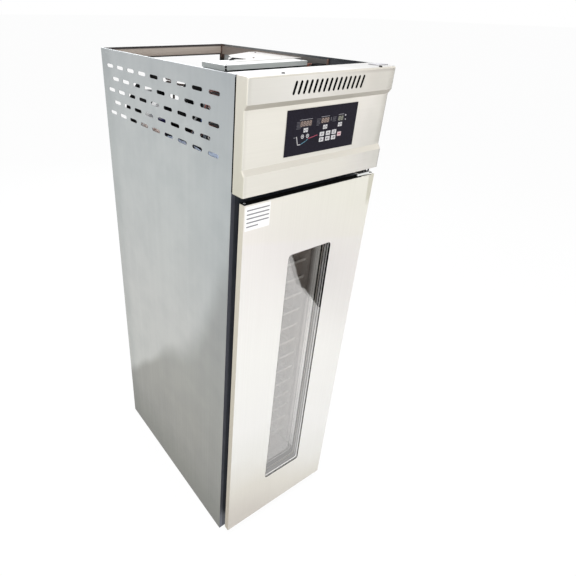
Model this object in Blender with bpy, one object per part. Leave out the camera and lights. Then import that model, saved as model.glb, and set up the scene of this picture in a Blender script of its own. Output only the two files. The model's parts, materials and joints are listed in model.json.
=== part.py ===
"""A one-door proofing cabinet for sixteen 400 x 600 mm trays, with its cooling unit on top.

Sizes are in metres and +Z is up. The door is at the front, towards -Y, and X runs to the right as
seen from the front. The origin is on the floor, below the middle of the whole object.

Places along Y are measured from the front edge of the side panels, and every object's own location
moves it from there to the origin. So a piece of the door or the fascia has a negative Y.
"""

import math

import bmesh
import bpy
from mathutils import Matrix, Vector

# Driving sizes of the whole cabinet
CABINET_WIDTH = 0.600
BODY_DEPTH = 0.910
CABINET_HEIGHT = 2.018
FRONT_PROJECTION = 0.056
MACHINE_HEIGHT = 0.318

# Sheet metal, and the gap that seated pieces keep
SHEET = 0.0010
STRONG_SHEET = 0.0015
PLATE = 0.004
SEAT = 0.0003
OVERRUN = 0.020

# The walls round the chamber, and how far the door laps over its mouth at the foot
SIDE_WALL = 0.050
BACK_WALL = 0.050
CEILING_WALL = 0.085
DOOR_FOOT_LAP = 0.0515

# Side panels and their vent slots
PANEL_RETURN = 0.015
PANEL_TOP_LIP = 0.007
VENT_LENGTH = 0.058
VENT_HEIGHT = 0.0125
VENT_SPACING = 0.0918
VENT_ROW_SPACING = 0.0447
FIRST_VENT = 0.098
VENT_TOP_DROP = 0.059

# The door and its window
DOOR_SIDE_MARGIN = 0.008
DOOR_BOTTOM = 0.0485
DOOR_TO_FASCIA = 0.024
DOOR_PAN_DEPTH = 0.024
DOOR_LINER_DEPTH = 0.016
WINDOW_WIDTH = 0.204
WINDOW_CENTRE = 0.014
WINDOW_RISE = 0.2225
WINDOW_DROP = 0.223
WINDOW_CORNER = 0.013
GLASS = 0.004

# The hinge line of the door
HINGE_INSET = 0.026
HINGE_SETBACK = 0.011
PIN_RADIUS = 0.004

# The fascia above the door
FASCIA_LAP = 0.012
FASCIA_SEAM = 0.005
FASCIA_RECESS = 0.011
FASCIA_TOP_FLANGE = 0.050
LOWER_BAND = 0.065
LOWER_SLOPE = 0.016
UPPER_BAND = 0.070
UPPER_SLOPE = 0.015
AIR_SLOTS = 15
AIR_SLOT_SPACING = 0.020
AIR_SLOT_WIDTH = 0.006
AIR_SLOT_HEIGHT = 0.034
AIR_SLOT_DROP = 0.020
AIR_SLOT_LEAN = 0.0105
AIR_SLOTS_CENTRE = 0.007

# The control panel on the fascia
PANEL_WIDTH = 0.299
PANEL_CENTRE = 0.0055
PANEL_LOWER_MARGIN = 0.015
PANEL_UPPER_MARGIN = 0.014
PANEL_PROUD = 0.0015

# Tray racks: their stand-off leaves 411 mm between the upstands for a tray 400 mm wide
RACK_STAND = 0.043
TRAY_SPACING = 0.0863
FIRST_TRAY_RISE = 0.089
LAST_TRAY_HEADROOM = 0.100
LEDGE_WIDTH = 0.0405
LEDGE_UPSTAND = 0.020

# The air duct at the chamber's back
DUCT_DEPTH = 0.085
FAN_DROP = 0.435
CIRCULATION_FAN_RADIUS = 0.080

# Levels and places that follow from the sizes above
HALF = CABINET_WIDTH / 2
FRONT = (FRONT_PROJECTION - BODY_DEPTH) / 2
DECK_LEVEL = CABINET_HEIGHT - MACHINE_HEIGHT
CHAMBER_WIDTH = CABINET_WIDTH - 2 * SIDE_WALL
CHAMBER_FLOOR = DOOR_BOTTOM + DOOR_FOOT_LAP
CHAMBER_CEILING = DECK_LEVEL - CEILING_WALL
CHAMBER_BACK = BODY_DEPTH - BACK_WALL
FASCIA_BOTTOM = DECK_LEVEL - FASCIA_LAP
LOWER_BAND_TOP = FASCIA_BOTTOM + LOWER_BAND
LOWER_SLOPE_TOP = LOWER_BAND_TOP + LOWER_SLOPE
UPPER_BAND_BOTTOM = CABINET_HEIGHT - UPPER_BAND
UPPER_SLOPE_BOTTOM = UPPER_BAND_BOTTOM - UPPER_SLOPE
PANEL_BOTTOM = LOWER_SLOPE_TOP + PANEL_LOWER_MARGIN
PANEL_HEIGHT = UPPER_SLOPE_BOTTOM - PANEL_UPPER_MARGIN - PANEL_BOTTOM
DOOR_WIDTH = CABINET_WIDTH - 2 * DOOR_SIDE_MARGIN
DOOR_TOP = FASCIA_BOTTOM - DOOR_TO_FASCIA
WINDOW_BOTTOM = DOOR_BOTTOM + WINDOW_RISE
WINDOW_TOP = DOOR_TOP - WINDOW_DROP
HINGE_X = HALF - HINGE_INSET
HINGE_Y = HINGE_SETBACK - FRONT_PROJECTION
DUCT_FRONT = CHAMBER_BACK - DUCT_DEPTH
FAN_LEVEL = CHAMBER_CEILING - FAN_DROP
TOP_VENT_ROW = CABINET_HEIGHT - VENT_TOP_DROP
VENT_ROWS = int((MACHINE_HEIGHT - VENT_TOP_DROP) / VENT_ROW_SPACING)
VENT_COLUMNS = int((BODY_DEPTH - FIRST_VENT) / VENT_SPACING) + 1
FIRST_TRAY = CHAMBER_FLOOR + FIRST_TRAY_RISE
TRAY_LEVELS = int((CHAMBER_CEILING - LAST_TRAY_HEADROOM - FIRST_TRAY) / TRAY_SPACING) + 1


def finish(name, colour, metallic, roughness):
    """A Principled material in the part's plain colour."""
    material = bpy.data.materials.new(name)
    material.use_nodes = True
    shader = material.node_tree.nodes["Principled BSDF"]
    shader.inputs["Base Color"].default_value = (*colour, 1.0)
    shader.inputs["Metallic"].default_value = metallic
    shader.inputs["Roughness"].default_value = roughness
    material.diffuse_color = (*colour, 1.0)
    return material


def clear_scene():
    for old in list(bpy.data.objects):
        bpy.data.objects.remove(old, do_unlink=True)


# Outlines in a plane


def obround(length, height, steps=4, centre=(0, 0)):
    """A slot outline with round ends, its long way along the first axis."""
    radius = height / 2
    reach = length / 2 - radius
    points = []
    for side, first in ((1, -math.pi / 2), (-1, math.pi / 2)):
        for step in range(steps + 1):
            angle = first + math.pi * step / steps
            points.append(
                (
                    centre[0] + side * reach + radius * math.cos(angle),
                    centre[1] + radius * math.sin(angle),
                )
            )
    return points


def circle(radius, steps, centre=(0, 0)):
    return [
        (
            centre[0] + radius * math.cos(math.tau * (k + 0.5) / steps),
            centre[1] + radius * math.sin(math.tau * (k + 0.5) / steps),
        )
        for k in range(steps)
    ]


def rounded_rectangle(low, high, radius, steps=3):
    corners = (
        (high[0] - radius, low[1] + radius, -math.pi / 2),
        (high[0] - radius, high[1] - radius, 0),
        (low[0] + radius, high[1] - radius, math.pi / 2),
        (low[0] + radius, low[1] + radius, math.pi),
    )
    return [
        (
            x + radius * math.cos(first + math.pi / 2 * k / steps),
            y + radius * math.sin(first + math.pi / 2 * k / steps),
        )
        for x, y, first in corners
        for k in range(steps + 1)
    ]


def folded(path, gauge):
    """The closed outline of a sheet that follows path, with its thickness on the path's left."""
    points = [Vector(p) for p in path]
    offset = []
    for k, point in enumerate(points):
        sides = []
        for a, b in ((k - 1, k), (k, k + 1)):
            if 0 <= a and b < len(points):
                run = (points[b] - points[a]).normalized()
                sides.append(Vector((-run.y, run.x)))
        middle = sum(sides, Vector((0, 0))).normalized()
        offset.append(point + middle * (gauge / middle.dot(sides[0])))
    return [tuple(p) for p in points + offset[::-1]]


# Closed shapes in mesh form


def prism(outline, axis, start, end):
    """The outline's plane is YZ for axis x, XZ for axis y and XY for axis z."""
    place = {
        "x": lambda u, v, w: (w, u, v),
        "y": lambda u, v, w: (u, w, v),
        "z": lambda u, v, w: (u, v, w),
    }[axis]
    shape = bmesh.new()
    loops = [[shape.verts.new(place(u, v, w)) for u, v in outline] for w in (start, end)]
    count = len(outline)
    for k in range(count):
        after = (k + 1) % count
        shape.faces.new((loops[0][k], loops[0][after], loops[1][after], loops[1][k]))
    shape.faces.new(loops[0][::-1])
    shape.faces.new(loops[1])
    bmesh.ops.recalc_face_normals(shape, faces=shape.faces)
    return shape


def box(low, high):
    outline = [(low[0], low[1]), (high[0], low[1]), (high[0], high[1]), (low[0], high[1])]
    return prism(outline, "z", low[2], high[2])


TURNS = {
    "x": Matrix.Rotation(math.pi / 2, 4, "Y"),
    "y": Matrix.Rotation(math.pi / 2, 4, "X"),
    "z": Matrix(),
}


def turned(profile, centre, axis="z", steps=20):
    """A solid of revolution. The profile is (radius, place along the axis) and closes on itself."""
    shape = bmesh.new()
    rings = []
    for radius, along in profile:
        if radius == 0:
            rings.append([shape.verts.new((0, 0, along))])
            continue
        rings.append([shape.verts.new((x, y, along)) for x, y in circle(radius, steps)])
    closed = profile[0][0] > 0
    for k in range(len(rings) if closed else len(rings) - 1):
        a, b = rings[k], rings[(k + 1) % len(rings)]
        for s in range(steps):
            quad = [a[s % len(a)], a[(s + 1) % len(a)], b[(s + 1) % len(b)], b[s % len(b)]]
            corners = list(dict.fromkeys(quad))
            if len(corners) > 2:
                shape.faces.new(corners)
    shape.transform(Matrix.Translation(centre) @ TURNS[axis])
    bmesh.ops.recalc_face_normals(shape, faces=shape.faces)
    return shape


def ring_moulding(section, low, high):
    """A section of (outward, y) points carried round a rectangle in XZ, with mitred corners."""
    shape = bmesh.new()
    signs = ((-1, -1), (1, -1), (1, 1), (-1, 1))
    corners = ((low[0], low[1]), (high[0], low[1]), (high[0], high[1]), (low[0], high[1]))
    loops = [
        [shape.verts.new((x + sx * out, y, z + sz * out)) for out, y in section]
        for (x, z), (sx, sz) in zip(corners, signs)
    ]
    count = len(section)
    for k in range(4):
        a, b = loops[k], loops[(k + 1) % 4]
        for s in range(count):
            after = (s + 1) % count
            shape.faces.new((a[s], a[after], b[after], b[s]))
    bmesh.ops.recalc_face_normals(shape, faces=shape.faces)
    return shape


def bent_route(corners, bend_radius, steps=2):
    """The points of a pipe that runs straight between corners and turns each of them on an arc."""
    corners = [Vector(c) for c in corners]
    points = [corners[0]]
    for before, corner, after in zip(corners, corners[1:], corners[2:]):
        back = (before - corner).normalized()
        ahead = (after - corner).normalized()
        half_angle = back.angle(ahead) / 2
        reach = bend_radius / math.tan(half_angle)
        centre = corner + (back + ahead).normalized() * (bend_radius / math.sin(half_angle))
        first = corner + back * reach - centre
        last = corner + ahead * reach - centre
        hinge = first.cross(last)
        sweep = first.angle(last)
        for k in range(steps + 1):
            points.append(centre + Matrix.Rotation(sweep * k / steps, 3, hinge) @ first)
    return points + [corners[-1]]


def swept(points, radius, sides=6):
    """A round bar along points, with flat ends square to its run."""
    points = [Vector(p) for p in points]
    shape = bmesh.new()
    runs = [(b - a).normalized() for a, b in zip(points, points[1:])]
    across = runs[0].orthogonal().normalized()
    loops = []
    for k, point in enumerate(points):
        before, after = runs[max(k - 1, 0)], runs[min(k, len(runs) - 1)]
        middle = (before + after).normalized()
        across = (across - middle * across.dot(middle)).normalized()
        other = middle.cross(across)
        stretch = 1 / max(middle.dot(after), 0.5)
        bend = after - before
        loop = []
        for s in range(sides):
            angle = math.tau * (s + 0.5) / sides
            reach = across * math.cos(angle) + other * math.sin(angle)
            if bend.length > 0:
                turn = bend.normalized()
                reach += turn * reach.dot(turn) * (stretch - 1)
            loop.append(shape.verts.new(point + reach * radius))
        loops.append(loop)
    for a, b in zip(loops, loops[1:]):
        for s in range(sides):
            after = (s + 1) % sides
            shape.faces.new((a[s], a[after], b[after], b[s]))
    shape.faces.new(loops[0][::-1])
    shape.faces.new(loops[-1])
    bmesh.ops.recalc_face_normals(shape, faces=shape.faces)
    return shape


def several(shapes):
    """Shapes that don't touch each other, as one mesh for a single cut or join."""
    together = bmesh.new()
    for shape in shapes:
        mesh = bpy.data.meshes.new("piece of a group")
        shape.to_mesh(mesh)
        shape.free()
        together.from_mesh(mesh)
        bpy.data.meshes.remove(mesh)
    return together


# Objects


def place(name, shape):
    mesh = bpy.data.meshes.new(name)
    shape.to_mesh(mesh)
    shape.free()
    made = bpy.data.objects.new(name, mesh)
    made.location = (0, FRONT, 0)
    bpy.context.scene.collection.objects.link(made)
    return made


def piece(name, shape, material, smooth=False, carrier=None):
    made = place(name, shape)
    made.data.materials.append(material)
    if smooth:
        made.data.shade_smooth()
        made.data.set_sharp_from_angle(angle=math.radians(35))
    if carrier:
        made.parent = carrier
        made.matrix_parent_inverse = carrier.matrix_world.inverted()
    return made


def boolean(target, operation, shape):
    helper = place(f"{target.name} {operation.lower()} {len(target.modifiers)}", shape)
    helper.hide_render = True
    helper.display_type = "WIRE"
    helper.parent = target.parent
    helper.matrix_parent_inverse = target.matrix_parent_inverse
    modifier = target.modifiers.new(helper.name, "BOOLEAN")
    modifier.operation = operation
    modifier.object = helper
    modifier.solver = "EXACT"


def cut(target, *shapes):
    for shape in shapes:
        boolean(target, "DIFFERENCE", shape)


def join(target, *shapes):
    for shape in shapes:
        boolean(target, "UNION", shape)


def joint_axis(name, x, y, z):
    """An empty on a joint's axis, which carries what turns with it."""
    empty = bpy.data.objects.new(name, None)
    empty.location = (x, FRONT + y, z)
    bpy.context.scene.collection.objects.link(empty)
    bpy.context.view_layer.update()
    return empty


# The outer case


# Small sizes of the outer case
BASE_THICKNESS = 0.002
REAR_RAIL_HEIGHT = 0.044
REAR_RAIL_DEPTH = 0.0035
REAR_POST_LEG = 0.0125
DRAIN_INSET = 0.070
DRAIN_LEVEL = 0.045
DRAIN_BODY_RADIUS = 0.011
DRAIN_X = DRAIN_INSET - CHAMBER_WIDTH / 2
REAR_RAIL_BOTTOM = CABINET_HEIGHT - REAR_RAIL_HEIGHT


def side_panel(name, side, material):
    """A folded panel with returns all round, a short lip on top and staggered vent slots."""

    def span(outer, inner):
        return sorted((side * (HALF - outer), side * (HALF - inner)))

    x_low, x_high = span(0, PANEL_RETURN)
    panel = piece(name, box((x_low, 0, 0), (x_high, BODY_DEPTH, CABINET_HEIGHT)), material)
    x_low, x_high = span(SHEET, PANEL_RETURN + OVERRUN)
    inside = box((x_low, SHEET, SHEET), (x_high, BODY_DEPTH - SHEET, CABINET_HEIGHT - SHEET))
    x_low, x_high = span(PANEL_TOP_LIP, PANEL_RETURN + OVERRUN)
    above_lip = box(
        (x_low, -OVERRUN, CABINET_HEIGHT - PANEL_RETURN),
        (x_high, BODY_DEPTH - SHEET, CABINET_HEIGHT + OVERRUN),
    )
    x_low, x_high = span(-OVERRUN, PANEL_TOP_LIP)
    vents = []
    for row in range(VENT_ROWS):
        shorter = row % 2
        for column in range(VENT_COLUMNS - shorter):
            along = FIRST_VENT + VENT_SPACING * (column + shorter / 2)
            slot = obround(VENT_LENGTH, VENT_HEIGHT, 3, (along, TOP_VENT_ROW - row * VENT_ROW_SPACING))
            vents.append(prism(slot, "x", x_low, x_high))
    cut(panel, inside, above_lip, several(vents))


def outer_case(steel, dark_steel, zinc):
    side_panel("side_panel_left", -1, steel)
    side_panel("side_panel_right", 1, steel)
    between_returns = HALF - PANEL_RETURN - SEAT

    back = piece(
        "back_panel",
        box(
            (-between_returns, BODY_DEPTH - SHEET, SEAT),
            (between_returns, BODY_DEPTH, DECK_LEVEL),
        ),
        zinc,
    )
    drain_hole = circle(DRAIN_BODY_RADIUS + SEAT, 16, (DRAIN_X, DRAIN_LEVEL))
    cut(back, prism(drain_hole, "y", BODY_DEPTH - OVERRUN, BODY_DEPTH + OVERRUN))

    piece(
        "base_pan",
        box(
            (-between_returns, STRONG_SHEET + SEAT, 0),
            (between_returns, BODY_DEPTH - SHEET - SEAT, BASE_THICKNESS),
        ),
        zinc,
    )

    rail_half = HALF - PANEL_TOP_LIP - SEAT
    rail_back = BODY_DEPTH - SHEET - SEAT
    rail_front = rail_back - REAR_RAIL_DEPTH
    rail = folded(
        [
            (rail_back, REAR_RAIL_BOTTOM),
            (rail_front, REAR_RAIL_BOTTOM),
            (rail_front, CABINET_HEIGHT),
            (rail_back, CABINET_HEIGHT),
        ],
        -SHEET,
    )
    piece("rear_rail", prism(rail, "x", -rail_half, rail_half), dark_steel)

    post_outer = HALF - SHEET - SEAT
    post_back = rail_front - SEAT
    for name, side in (("rear_post_left", -1), ("rear_post_right", 1)):
        angle_bar = folded(
            [
                (side * (post_outer - REAR_POST_LEG), post_back),
                (side * post_outer, post_back),
                (side * post_outer, post_back - REAR_POST_LEG),
            ],
            -side * STRONG_SHEET,
        )
        top = CABINET_HEIGHT - SHEET - SEAT
        piece(name, prism(angle_bar, "z", DECK_LEVEL + SEAT, top), dark_steel)


# Small sizes of the deck, and the places where two pipes pass it: x, y and the pipe's radius
DECK_FRONT = 0.003
DECK_UPSTAND = 0.012
SUCTION_RADIUS = 0.005
LIQUID_RADIUS = 0.0032
EVAPORATOR_RIGHT_INSET = 0.055
SUCTION_INSET = 0.007
LIQUID_INSET = 0.040
PASS_SETBACK = 0.038
EVAPORATOR_RIGHT = CHAMBER_WIDTH / 2 - EVAPORATOR_RIGHT_INSET
SUCTION_PASS = (EVAPORATOR_RIGHT - SUCTION_INSET, CHAMBER_BACK - PASS_SETBACK)
LIQUID_PASS = (EVAPORATOR_RIGHT - LIQUID_INSET, CHAMBER_BACK - PASS_SETBACK)
PASS_CLEARANCE = 0.0006
PIPE_PASSES = ((*SUCTION_PASS, SUCTION_RADIUS), (*LIQUID_PASS, LIQUID_RADIUS))


def machine_deck(steel):
    """The floor of the machine space, with its front edge turned up."""
    half = HALF - SHEET - SEAT
    back = BODY_DEPTH - SHEET - SEAT
    path = [
        (DECK_FRONT, DECK_LEVEL + DECK_UPSTAND),
        (DECK_FRONT, DECK_LEVEL - SHEET),
        (back, DECK_LEVEL - SHEET),
    ]
    deck = piece("machine_deck", prism(folded(path, SHEET), "x", -half, half), steel)
    for x, y, radius in PIPE_PASSES:
        hole = circle(radius + PASS_CLEARANCE, 8, (x, y))
        cut(deck, prism(hole, "z", DECK_LEVEL - OVERRUN, DECK_LEVEL + OVERRUN))


COLLAR_BACK = 0.012


def front_frame(dark_steel):
    """The dark frame behind the door, with a collar that turns into the chamber's mouth."""
    half = HALF - PANEL_RETURN - SEAT
    opening = CHAMBER_WIDTH / 2
    frame = piece(
        "front_frame",
        box((-half, 0, SEAT), (half, STRONG_SHEET, FASCIA_BOTTOM)),
        dark_steel,
    )
    collar = box(
        (-opening - SHEET, STRONG_SHEET / 2, CHAMBER_FLOOR - SHEET),
        (opening + SHEET, COLLAR_BACK, CHAMBER_CEILING + SHEET),
    )
    mouth = box(
        (-opening, -OVERRUN, CHAMBER_FLOOR),
        (opening, COLLAR_BACK + OVERRUN, CHAMBER_CEILING),
    )
    join(frame, collar)
    cut(frame, mouth)


# The insulated chamber


DRAIN_BORE_RADIUS = 0.008
DRAIN_FLANGE_RADIUS = 0.015
DRAIN_FLANGE = 0.004
DRAIN_LENGTH = 0.036


def insulation(foam):
    """The foam that fills the walls between the case and the liner, in one piece."""
    outer = HALF - SHEET - SEAT
    front = STRONG_SHEET + SEAT
    back = BODY_DEPTH - SHEET - SEAT
    low = BASE_THICKNESS + SEAT
    high = DECK_LEVEL - SHEET - SEAT
    skin = SHEET + SEAT
    inner = CHAMBER_WIDTH / 2 + skin
    body = piece("insulation", box((-outer, front, low), (outer, back, high)), foam)
    chamber = box(
        (-inner, front - OVERRUN, CHAMBER_FLOOR - skin),
        (inner, CHAMBER_BACK + skin, CHAMBER_CEILING + skin),
    )
    drain_bore = circle(DRAIN_FLANGE_RADIUS + SEAT, 16, (DRAIN_X, DRAIN_LEVEL))
    drain_front = BODY_DEPTH - DRAIN_LENGTH - SEAT
    passes = [
        prism(circle(radius + PASS_CLEARANCE, 8, (x, y)), "z", CHAMBER_CEILING, high + OVERRUN)
        for x, y, radius in PIPE_PASSES
    ]
    cut(body, chamber, prism(drain_bore, "y", drain_front, BODY_DEPTH + OVERRUN), several(passes))


def chamber_liner(steel):
    """Five bright sheets that line the chamber, the side sheets standing between floor and ceiling."""
    inner = CHAMBER_WIDTH / 2
    outer = inner + SHEET
    front = COLLAR_BACK + SEAT
    back = CHAMBER_BACK + SHEET
    floor = CHAMBER_FLOOR - SHEET
    ceiling = CHAMBER_CEILING + SHEET
    low = CHAMBER_FLOOR + SEAT
    high = CHAMBER_CEILING - SEAT
    piece("liner_floor", box((-outer, front, floor), (outer, back, CHAMBER_FLOOR)), steel)
    lid = piece("liner_ceiling", box((-outer, front, CHAMBER_CEILING), (outer, back, ceiling)), steel)
    for x, y, radius in PIPE_PASSES:
        hole = circle(radius + PASS_CLEARANCE, 8, (x, y))
        cut(lid, prism(hole, "z", high - OVERRUN, ceiling + OVERRUN))
    piece("liner_left", box((-outer, front, low), (-inner, back, high)), steel)
    piece("liner_right", box((inner, front, low), (outer, back, high)), steel)
    piece(
        "liner_back",
        box((-inner + SEAT, CHAMBER_BACK, low), (inner - SEAT, back, high)),
        steel,
    )


def drain_outlet(plastic):
    """The threaded outlet low in the back, which a drain hose is pushed on to."""
    profile = [
        (DRAIN_BORE_RADIUS, 0),
        (DRAIN_BORE_RADIUS, DRAIN_LENGTH),
        (DRAIN_FLANGE_RADIUS, DRAIN_LENGTH),
        (DRAIN_FLANGE_RADIUS, DRAIN_LENGTH - DRAIN_FLANGE),
        (DRAIN_BODY_RADIUS, DRAIN_LENGTH - DRAIN_FLANGE),
        (DRAIN_BODY_RADIUS, 0),
    ]
    centre = (DRAIN_X, BODY_DEPTH, DRAIN_LEVEL)
    piece("drain_outlet", turned(profile, centre, "y", 16), plastic, smooth=True)


# Tray racks


LEDGE_FRONT = 0.180
LEDGE_TO_DUCT = 0.020
FRONT_UPRIGHT_INSET = 0.060
BACK_UPRIGHT_INSET = 0.055
UPRIGHT_WIDTH = 0.030
RACK_HEADROOM = 0.025
UPSTAND_OUTER = CHAMBER_WIDTH / 2 - RACK_STAND
UPSTAND_INNER = UPSTAND_OUTER - STRONG_SHEET
LEDGE_INNER = UPSTAND_INNER - LEDGE_WIDTH
LEDGE_BACK = DUCT_FRONT - LEDGE_TO_DUCT
RACK_UPRIGHTS = (LEDGE_FRONT + FRONT_UPRIGHT_INSET, LEDGE_BACK - BACK_UPRIGHT_INSET)
RACK_TOP = CHAMBER_CEILING - RACK_HEADROOM


def tray_rack(name, side, steel):
    """Two channel uprights on the wall with an angle ledge for each tray."""
    wall = CHAMBER_WIDTH / 2 - SEAT
    web = UPSTAND_OUTER - STRONG_SHEET / 2
    uprights = []
    for middle in RACK_UPRIGHTS:
        front, back = middle - UPRIGHT_WIDTH / 2, middle + UPRIGHT_WIDTH / 2
        path = [(side * wall, front), (side * web, front), (side * web, back), (side * wall, back)]
        uprights.append(
            prism(folded(path, -side * STRONG_SHEET), "z", CHAMBER_FLOOR + SEAT, RACK_TOP)
        )
    rack = piece(name, several(uprights), steel)
    ledges = []
    for level in range(TRAY_LEVELS):
        top = FIRST_TRAY + level * TRAY_SPACING
        path = [
            (side * LEDGE_INNER, top - STRONG_SHEET),
            (side * UPSTAND_OUTER, top - STRONG_SHEET),
            (side * UPSTAND_OUTER, top + LEDGE_UPSTAND),
        ]
        ledges.append(prism(folded(path, side * STRONG_SHEET), "y", LEDGE_FRONT, LEDGE_BACK))
    join(rack, several(ledges))


# The air duct behind the trays, with its fan, coil and heater


# Small sizes of the duct
FAN_TIP_GAP = 0.006
DUCT_FIRST_SLOT_RISE = 0.130
DUCT_SLOT_SPACING = 0.180
DUCT_SLOT_LENGTH = 0.050
DUCT_SLOT_HEIGHT = 0.010
DUCT_SLOT_INSET = 0.060
DUCT_BLADE_PLACE = 0.021
CIRCULATION_BLADES = 5
CIRCULATION_MOTOR_RADIUS = 0.036
EVAPORATOR_LEFT_INSET = 0.100
EVAPORATOR_DROP = 0.085
EVAPORATOR_HEIGHT = 0.200
EVAPORATOR_DEPTH = 0.062
EVAPORATOR_FINS = 12
HEATER_RADIUS = 0.096
HEATER_TUBE_RADIUS = 0.004
HEATER_STAND = 0.020
HEATER_GAP_ANGLE = 0.20
HEATER_KNEE_SHARE = 0.35
HEATER_STEPS = 14
NOZZLE_INSET = 0.065
NOZZLE_RISE = 0.045
NOZZLE_RADIUS = 0.009
NOZZLE_TIP_RADIUS = 0.004
NOZZLE_LENGTH = 0.022
PROBE_COLLAR_RADIUS = 0.007
PROBE_COLLAR = 0.006
PROBE_RADIUS = 0.003
PROBE_LENGTH = 0.045
DUCT_FIRST_SLOT = CHAMBER_FLOOR + DUCT_FIRST_SLOT_RISE
DUCT_SLOT_ROWS = int((CHAMBER_CEILING - DUCT_FIRST_SLOT) / DUCT_SLOT_SPACING) + 1
DUCT_SLOT_X = CHAMBER_WIDTH / 2 - DUCT_SLOT_INSET
EVAPORATOR_LEFT = EVAPORATOR_LEFT_INSET - CHAMBER_WIDTH / 2
EVAPORATOR_TOP = CHAMBER_CEILING - EVAPORATOR_DROP
NOZZLE_X = CHAMBER_WIDTH / 2 - NOZZLE_INSET
NOZZLE_LEVEL = CHAMBER_FLOOR + NOZZLE_RISE


def air_duct(steel, black, aluminium, chrome, white_plastic):
    side = CHAMBER_WIDTH / 2 - SEAT
    back = CHAMBER_BACK - SEAT
    path = [(-side, back), (-side, DUCT_FRONT), (side, DUCT_FRONT), (side, back)]
    duct = piece(
        "air_duct_panel",
        prism(folded(path, STRONG_SHEET), "z", CHAMBER_FLOOR + SEAT, CHAMBER_CEILING - SEAT),
        steel,
    )
    fan_mouth = prism(
        circle(CIRCULATION_FAN_RADIUS + FAN_TIP_GAP, 24, (0, FAN_LEVEL)),
        "y",
        DUCT_FRONT - OVERRUN,
        DUCT_FRONT + OVERRUN,
    )
    outlets = []
    for column in (-1, 1):
        for row in range(DUCT_SLOT_ROWS):
            level = DUCT_FIRST_SLOT + row * DUCT_SLOT_SPACING
            slot = obround(DUCT_SLOT_LENGTH, DUCT_SLOT_HEIGHT, 3, (column * DUCT_SLOT_X, level))
            outlets.append(prism(slot, "y", DUCT_FRONT - OVERRUN, DUCT_FRONT + OVERRUN))
    cut(duct, fan_mouth, several(outlets))

    axis = joint_axis("circulation_fan_axis", 0, DUCT_FRONT + DUCT_BLADE_PLACE, FAN_LEVEL)
    fan_wheel(
        "circulation_fan_blade",
        (0, DUCT_FRONT + DUCT_BLADE_PLACE, FAN_LEVEL),
        CIRCULATION_FAN_RADIUS,
        CIRCULATION_BLADES,
        aluminium,
        axis,
    )
    motor_front = DUCT_FRONT + DUCT_BLADE_PLACE + HUB_LENGTH / 2 + SEAT
    fan_motor(
        "circulation_fan_motor",
        (0, motor_front, FAN_LEVEL),
        CIRCULATION_MOTOR_RADIUS,
        back - motor_front,
        black,
    )
    fan_guard("circulation_fan_guard", (0, DUCT_FRONT - SEAT, FAN_LEVEL), chrome)

    coil_front = DUCT_FRONT + STRONG_SHEET + SEAT
    finned_coil(
        "evaporator_coil",
        (EVAPORATOR_LEFT, coil_front, EVAPORATOR_TOP - EVAPORATOR_HEIGHT),
        (EVAPORATOR_RIGHT, coil_front + EVAPORATOR_DEPTH, EVAPORATOR_TOP),
        EVAPORATOR_FINS,
        aluminium,
    )

    heater_y = CHAMBER_BACK - HEATER_STAND
    turns = [
        (
            HEATER_RADIUS * math.sin(angle),
            heater_y,
            FAN_LEVEL + HEATER_RADIUS * math.cos(angle),
        )
        for angle in (
            math.pi + HEATER_GAP_ANGLE + (math.tau - 2 * HEATER_GAP_ANGLE) * k / HEATER_STEPS
            for k in range(HEATER_STEPS + 1)
        )
    ]
    first, last = Vector(turns[0]), Vector(turns[-1])
    leg = Vector((0, back - heater_y, 0))
    knee = leg * HEATER_KNEE_SHARE
    route = [first + leg, first + knee, *turns, last + knee, last + leg]
    piece("air_heater", swept(route, HEATER_TUBE_RADIUS, 6), chrome, smooth=True)

    nozzle = [
        (0, 0),
        (NOZZLE_RADIUS, 0),
        (NOZZLE_RADIUS, NOZZLE_LENGTH / 2),
        (NOZZLE_TIP_RADIUS, NOZZLE_LENGTH),
        (0, NOZZLE_LENGTH),
    ]
    nozzle_place = (NOZZLE_X, DUCT_FRONT - SEAT, NOZZLE_LEVEL)
    piece("mist_nozzle", turned(nozzle, nozzle_place, "y", 12), white_plastic, smooth=True)
    probe = [
        (0, 0),
        (PROBE_COLLAR_RADIUS, 0),
        (PROBE_COLLAR_RADIUS, PROBE_COLLAR),
        (PROBE_RADIUS, PROBE_COLLAR),
        (PROBE_RADIUS, PROBE_LENGTH),
        (0, PROBE_LENGTH),
    ]
    probe_place = (-NOZZLE_X, DUCT_FRONT - SEAT, NOZZLE_LEVEL)
    piece("temperature_probe", turned(probe, probe_place, "y", 10), chrome, smooth=True)


# Fans and coils


# Small sizes of fans and coils
SHAFT_RADIUS = 0.004
HUB_RADIUS = 0.017
HUB_LENGTH = 0.022
BLADE_STEPS = 2
BLADE_ROOT_PITCH = 42
BLADE_TIP_PITCH = 22
BLADE_ROOT_CHORD_SHARE = 0.24
BLADE_TIP_CHORD_SHARE = 0.72
BLADE_SWEEP = 0.35
BLADE_THICKNESS = 0.0012
BLADE_SECTION_SHARES = ((-0.5, -0.03), (-0.25, 0.02), (0, 0.04), (0.25, 0.02), (0.5, -0.03))
MOTOR_NOSE_SHARE = 0.12
MOTOR_SHOULDER_SHARE = 0.18
GUARD_RING_COUNT = 3
GUARD_INNER_RADIUS = 0.028
GUARD_OUTER_RADIUS = 0.088
GUARD_WIRE = 0.003
GUARD_DISH = 0.004
FIN_SHARE = 0.35
FIN_DEPTH = 0.006
COIL_END = 0.002
COIL_TUBE_SPACING = 0.038
COIL_BEND_RADIUS = 0.015
COIL_TUBE_RADIUS = 0.0045


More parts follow.
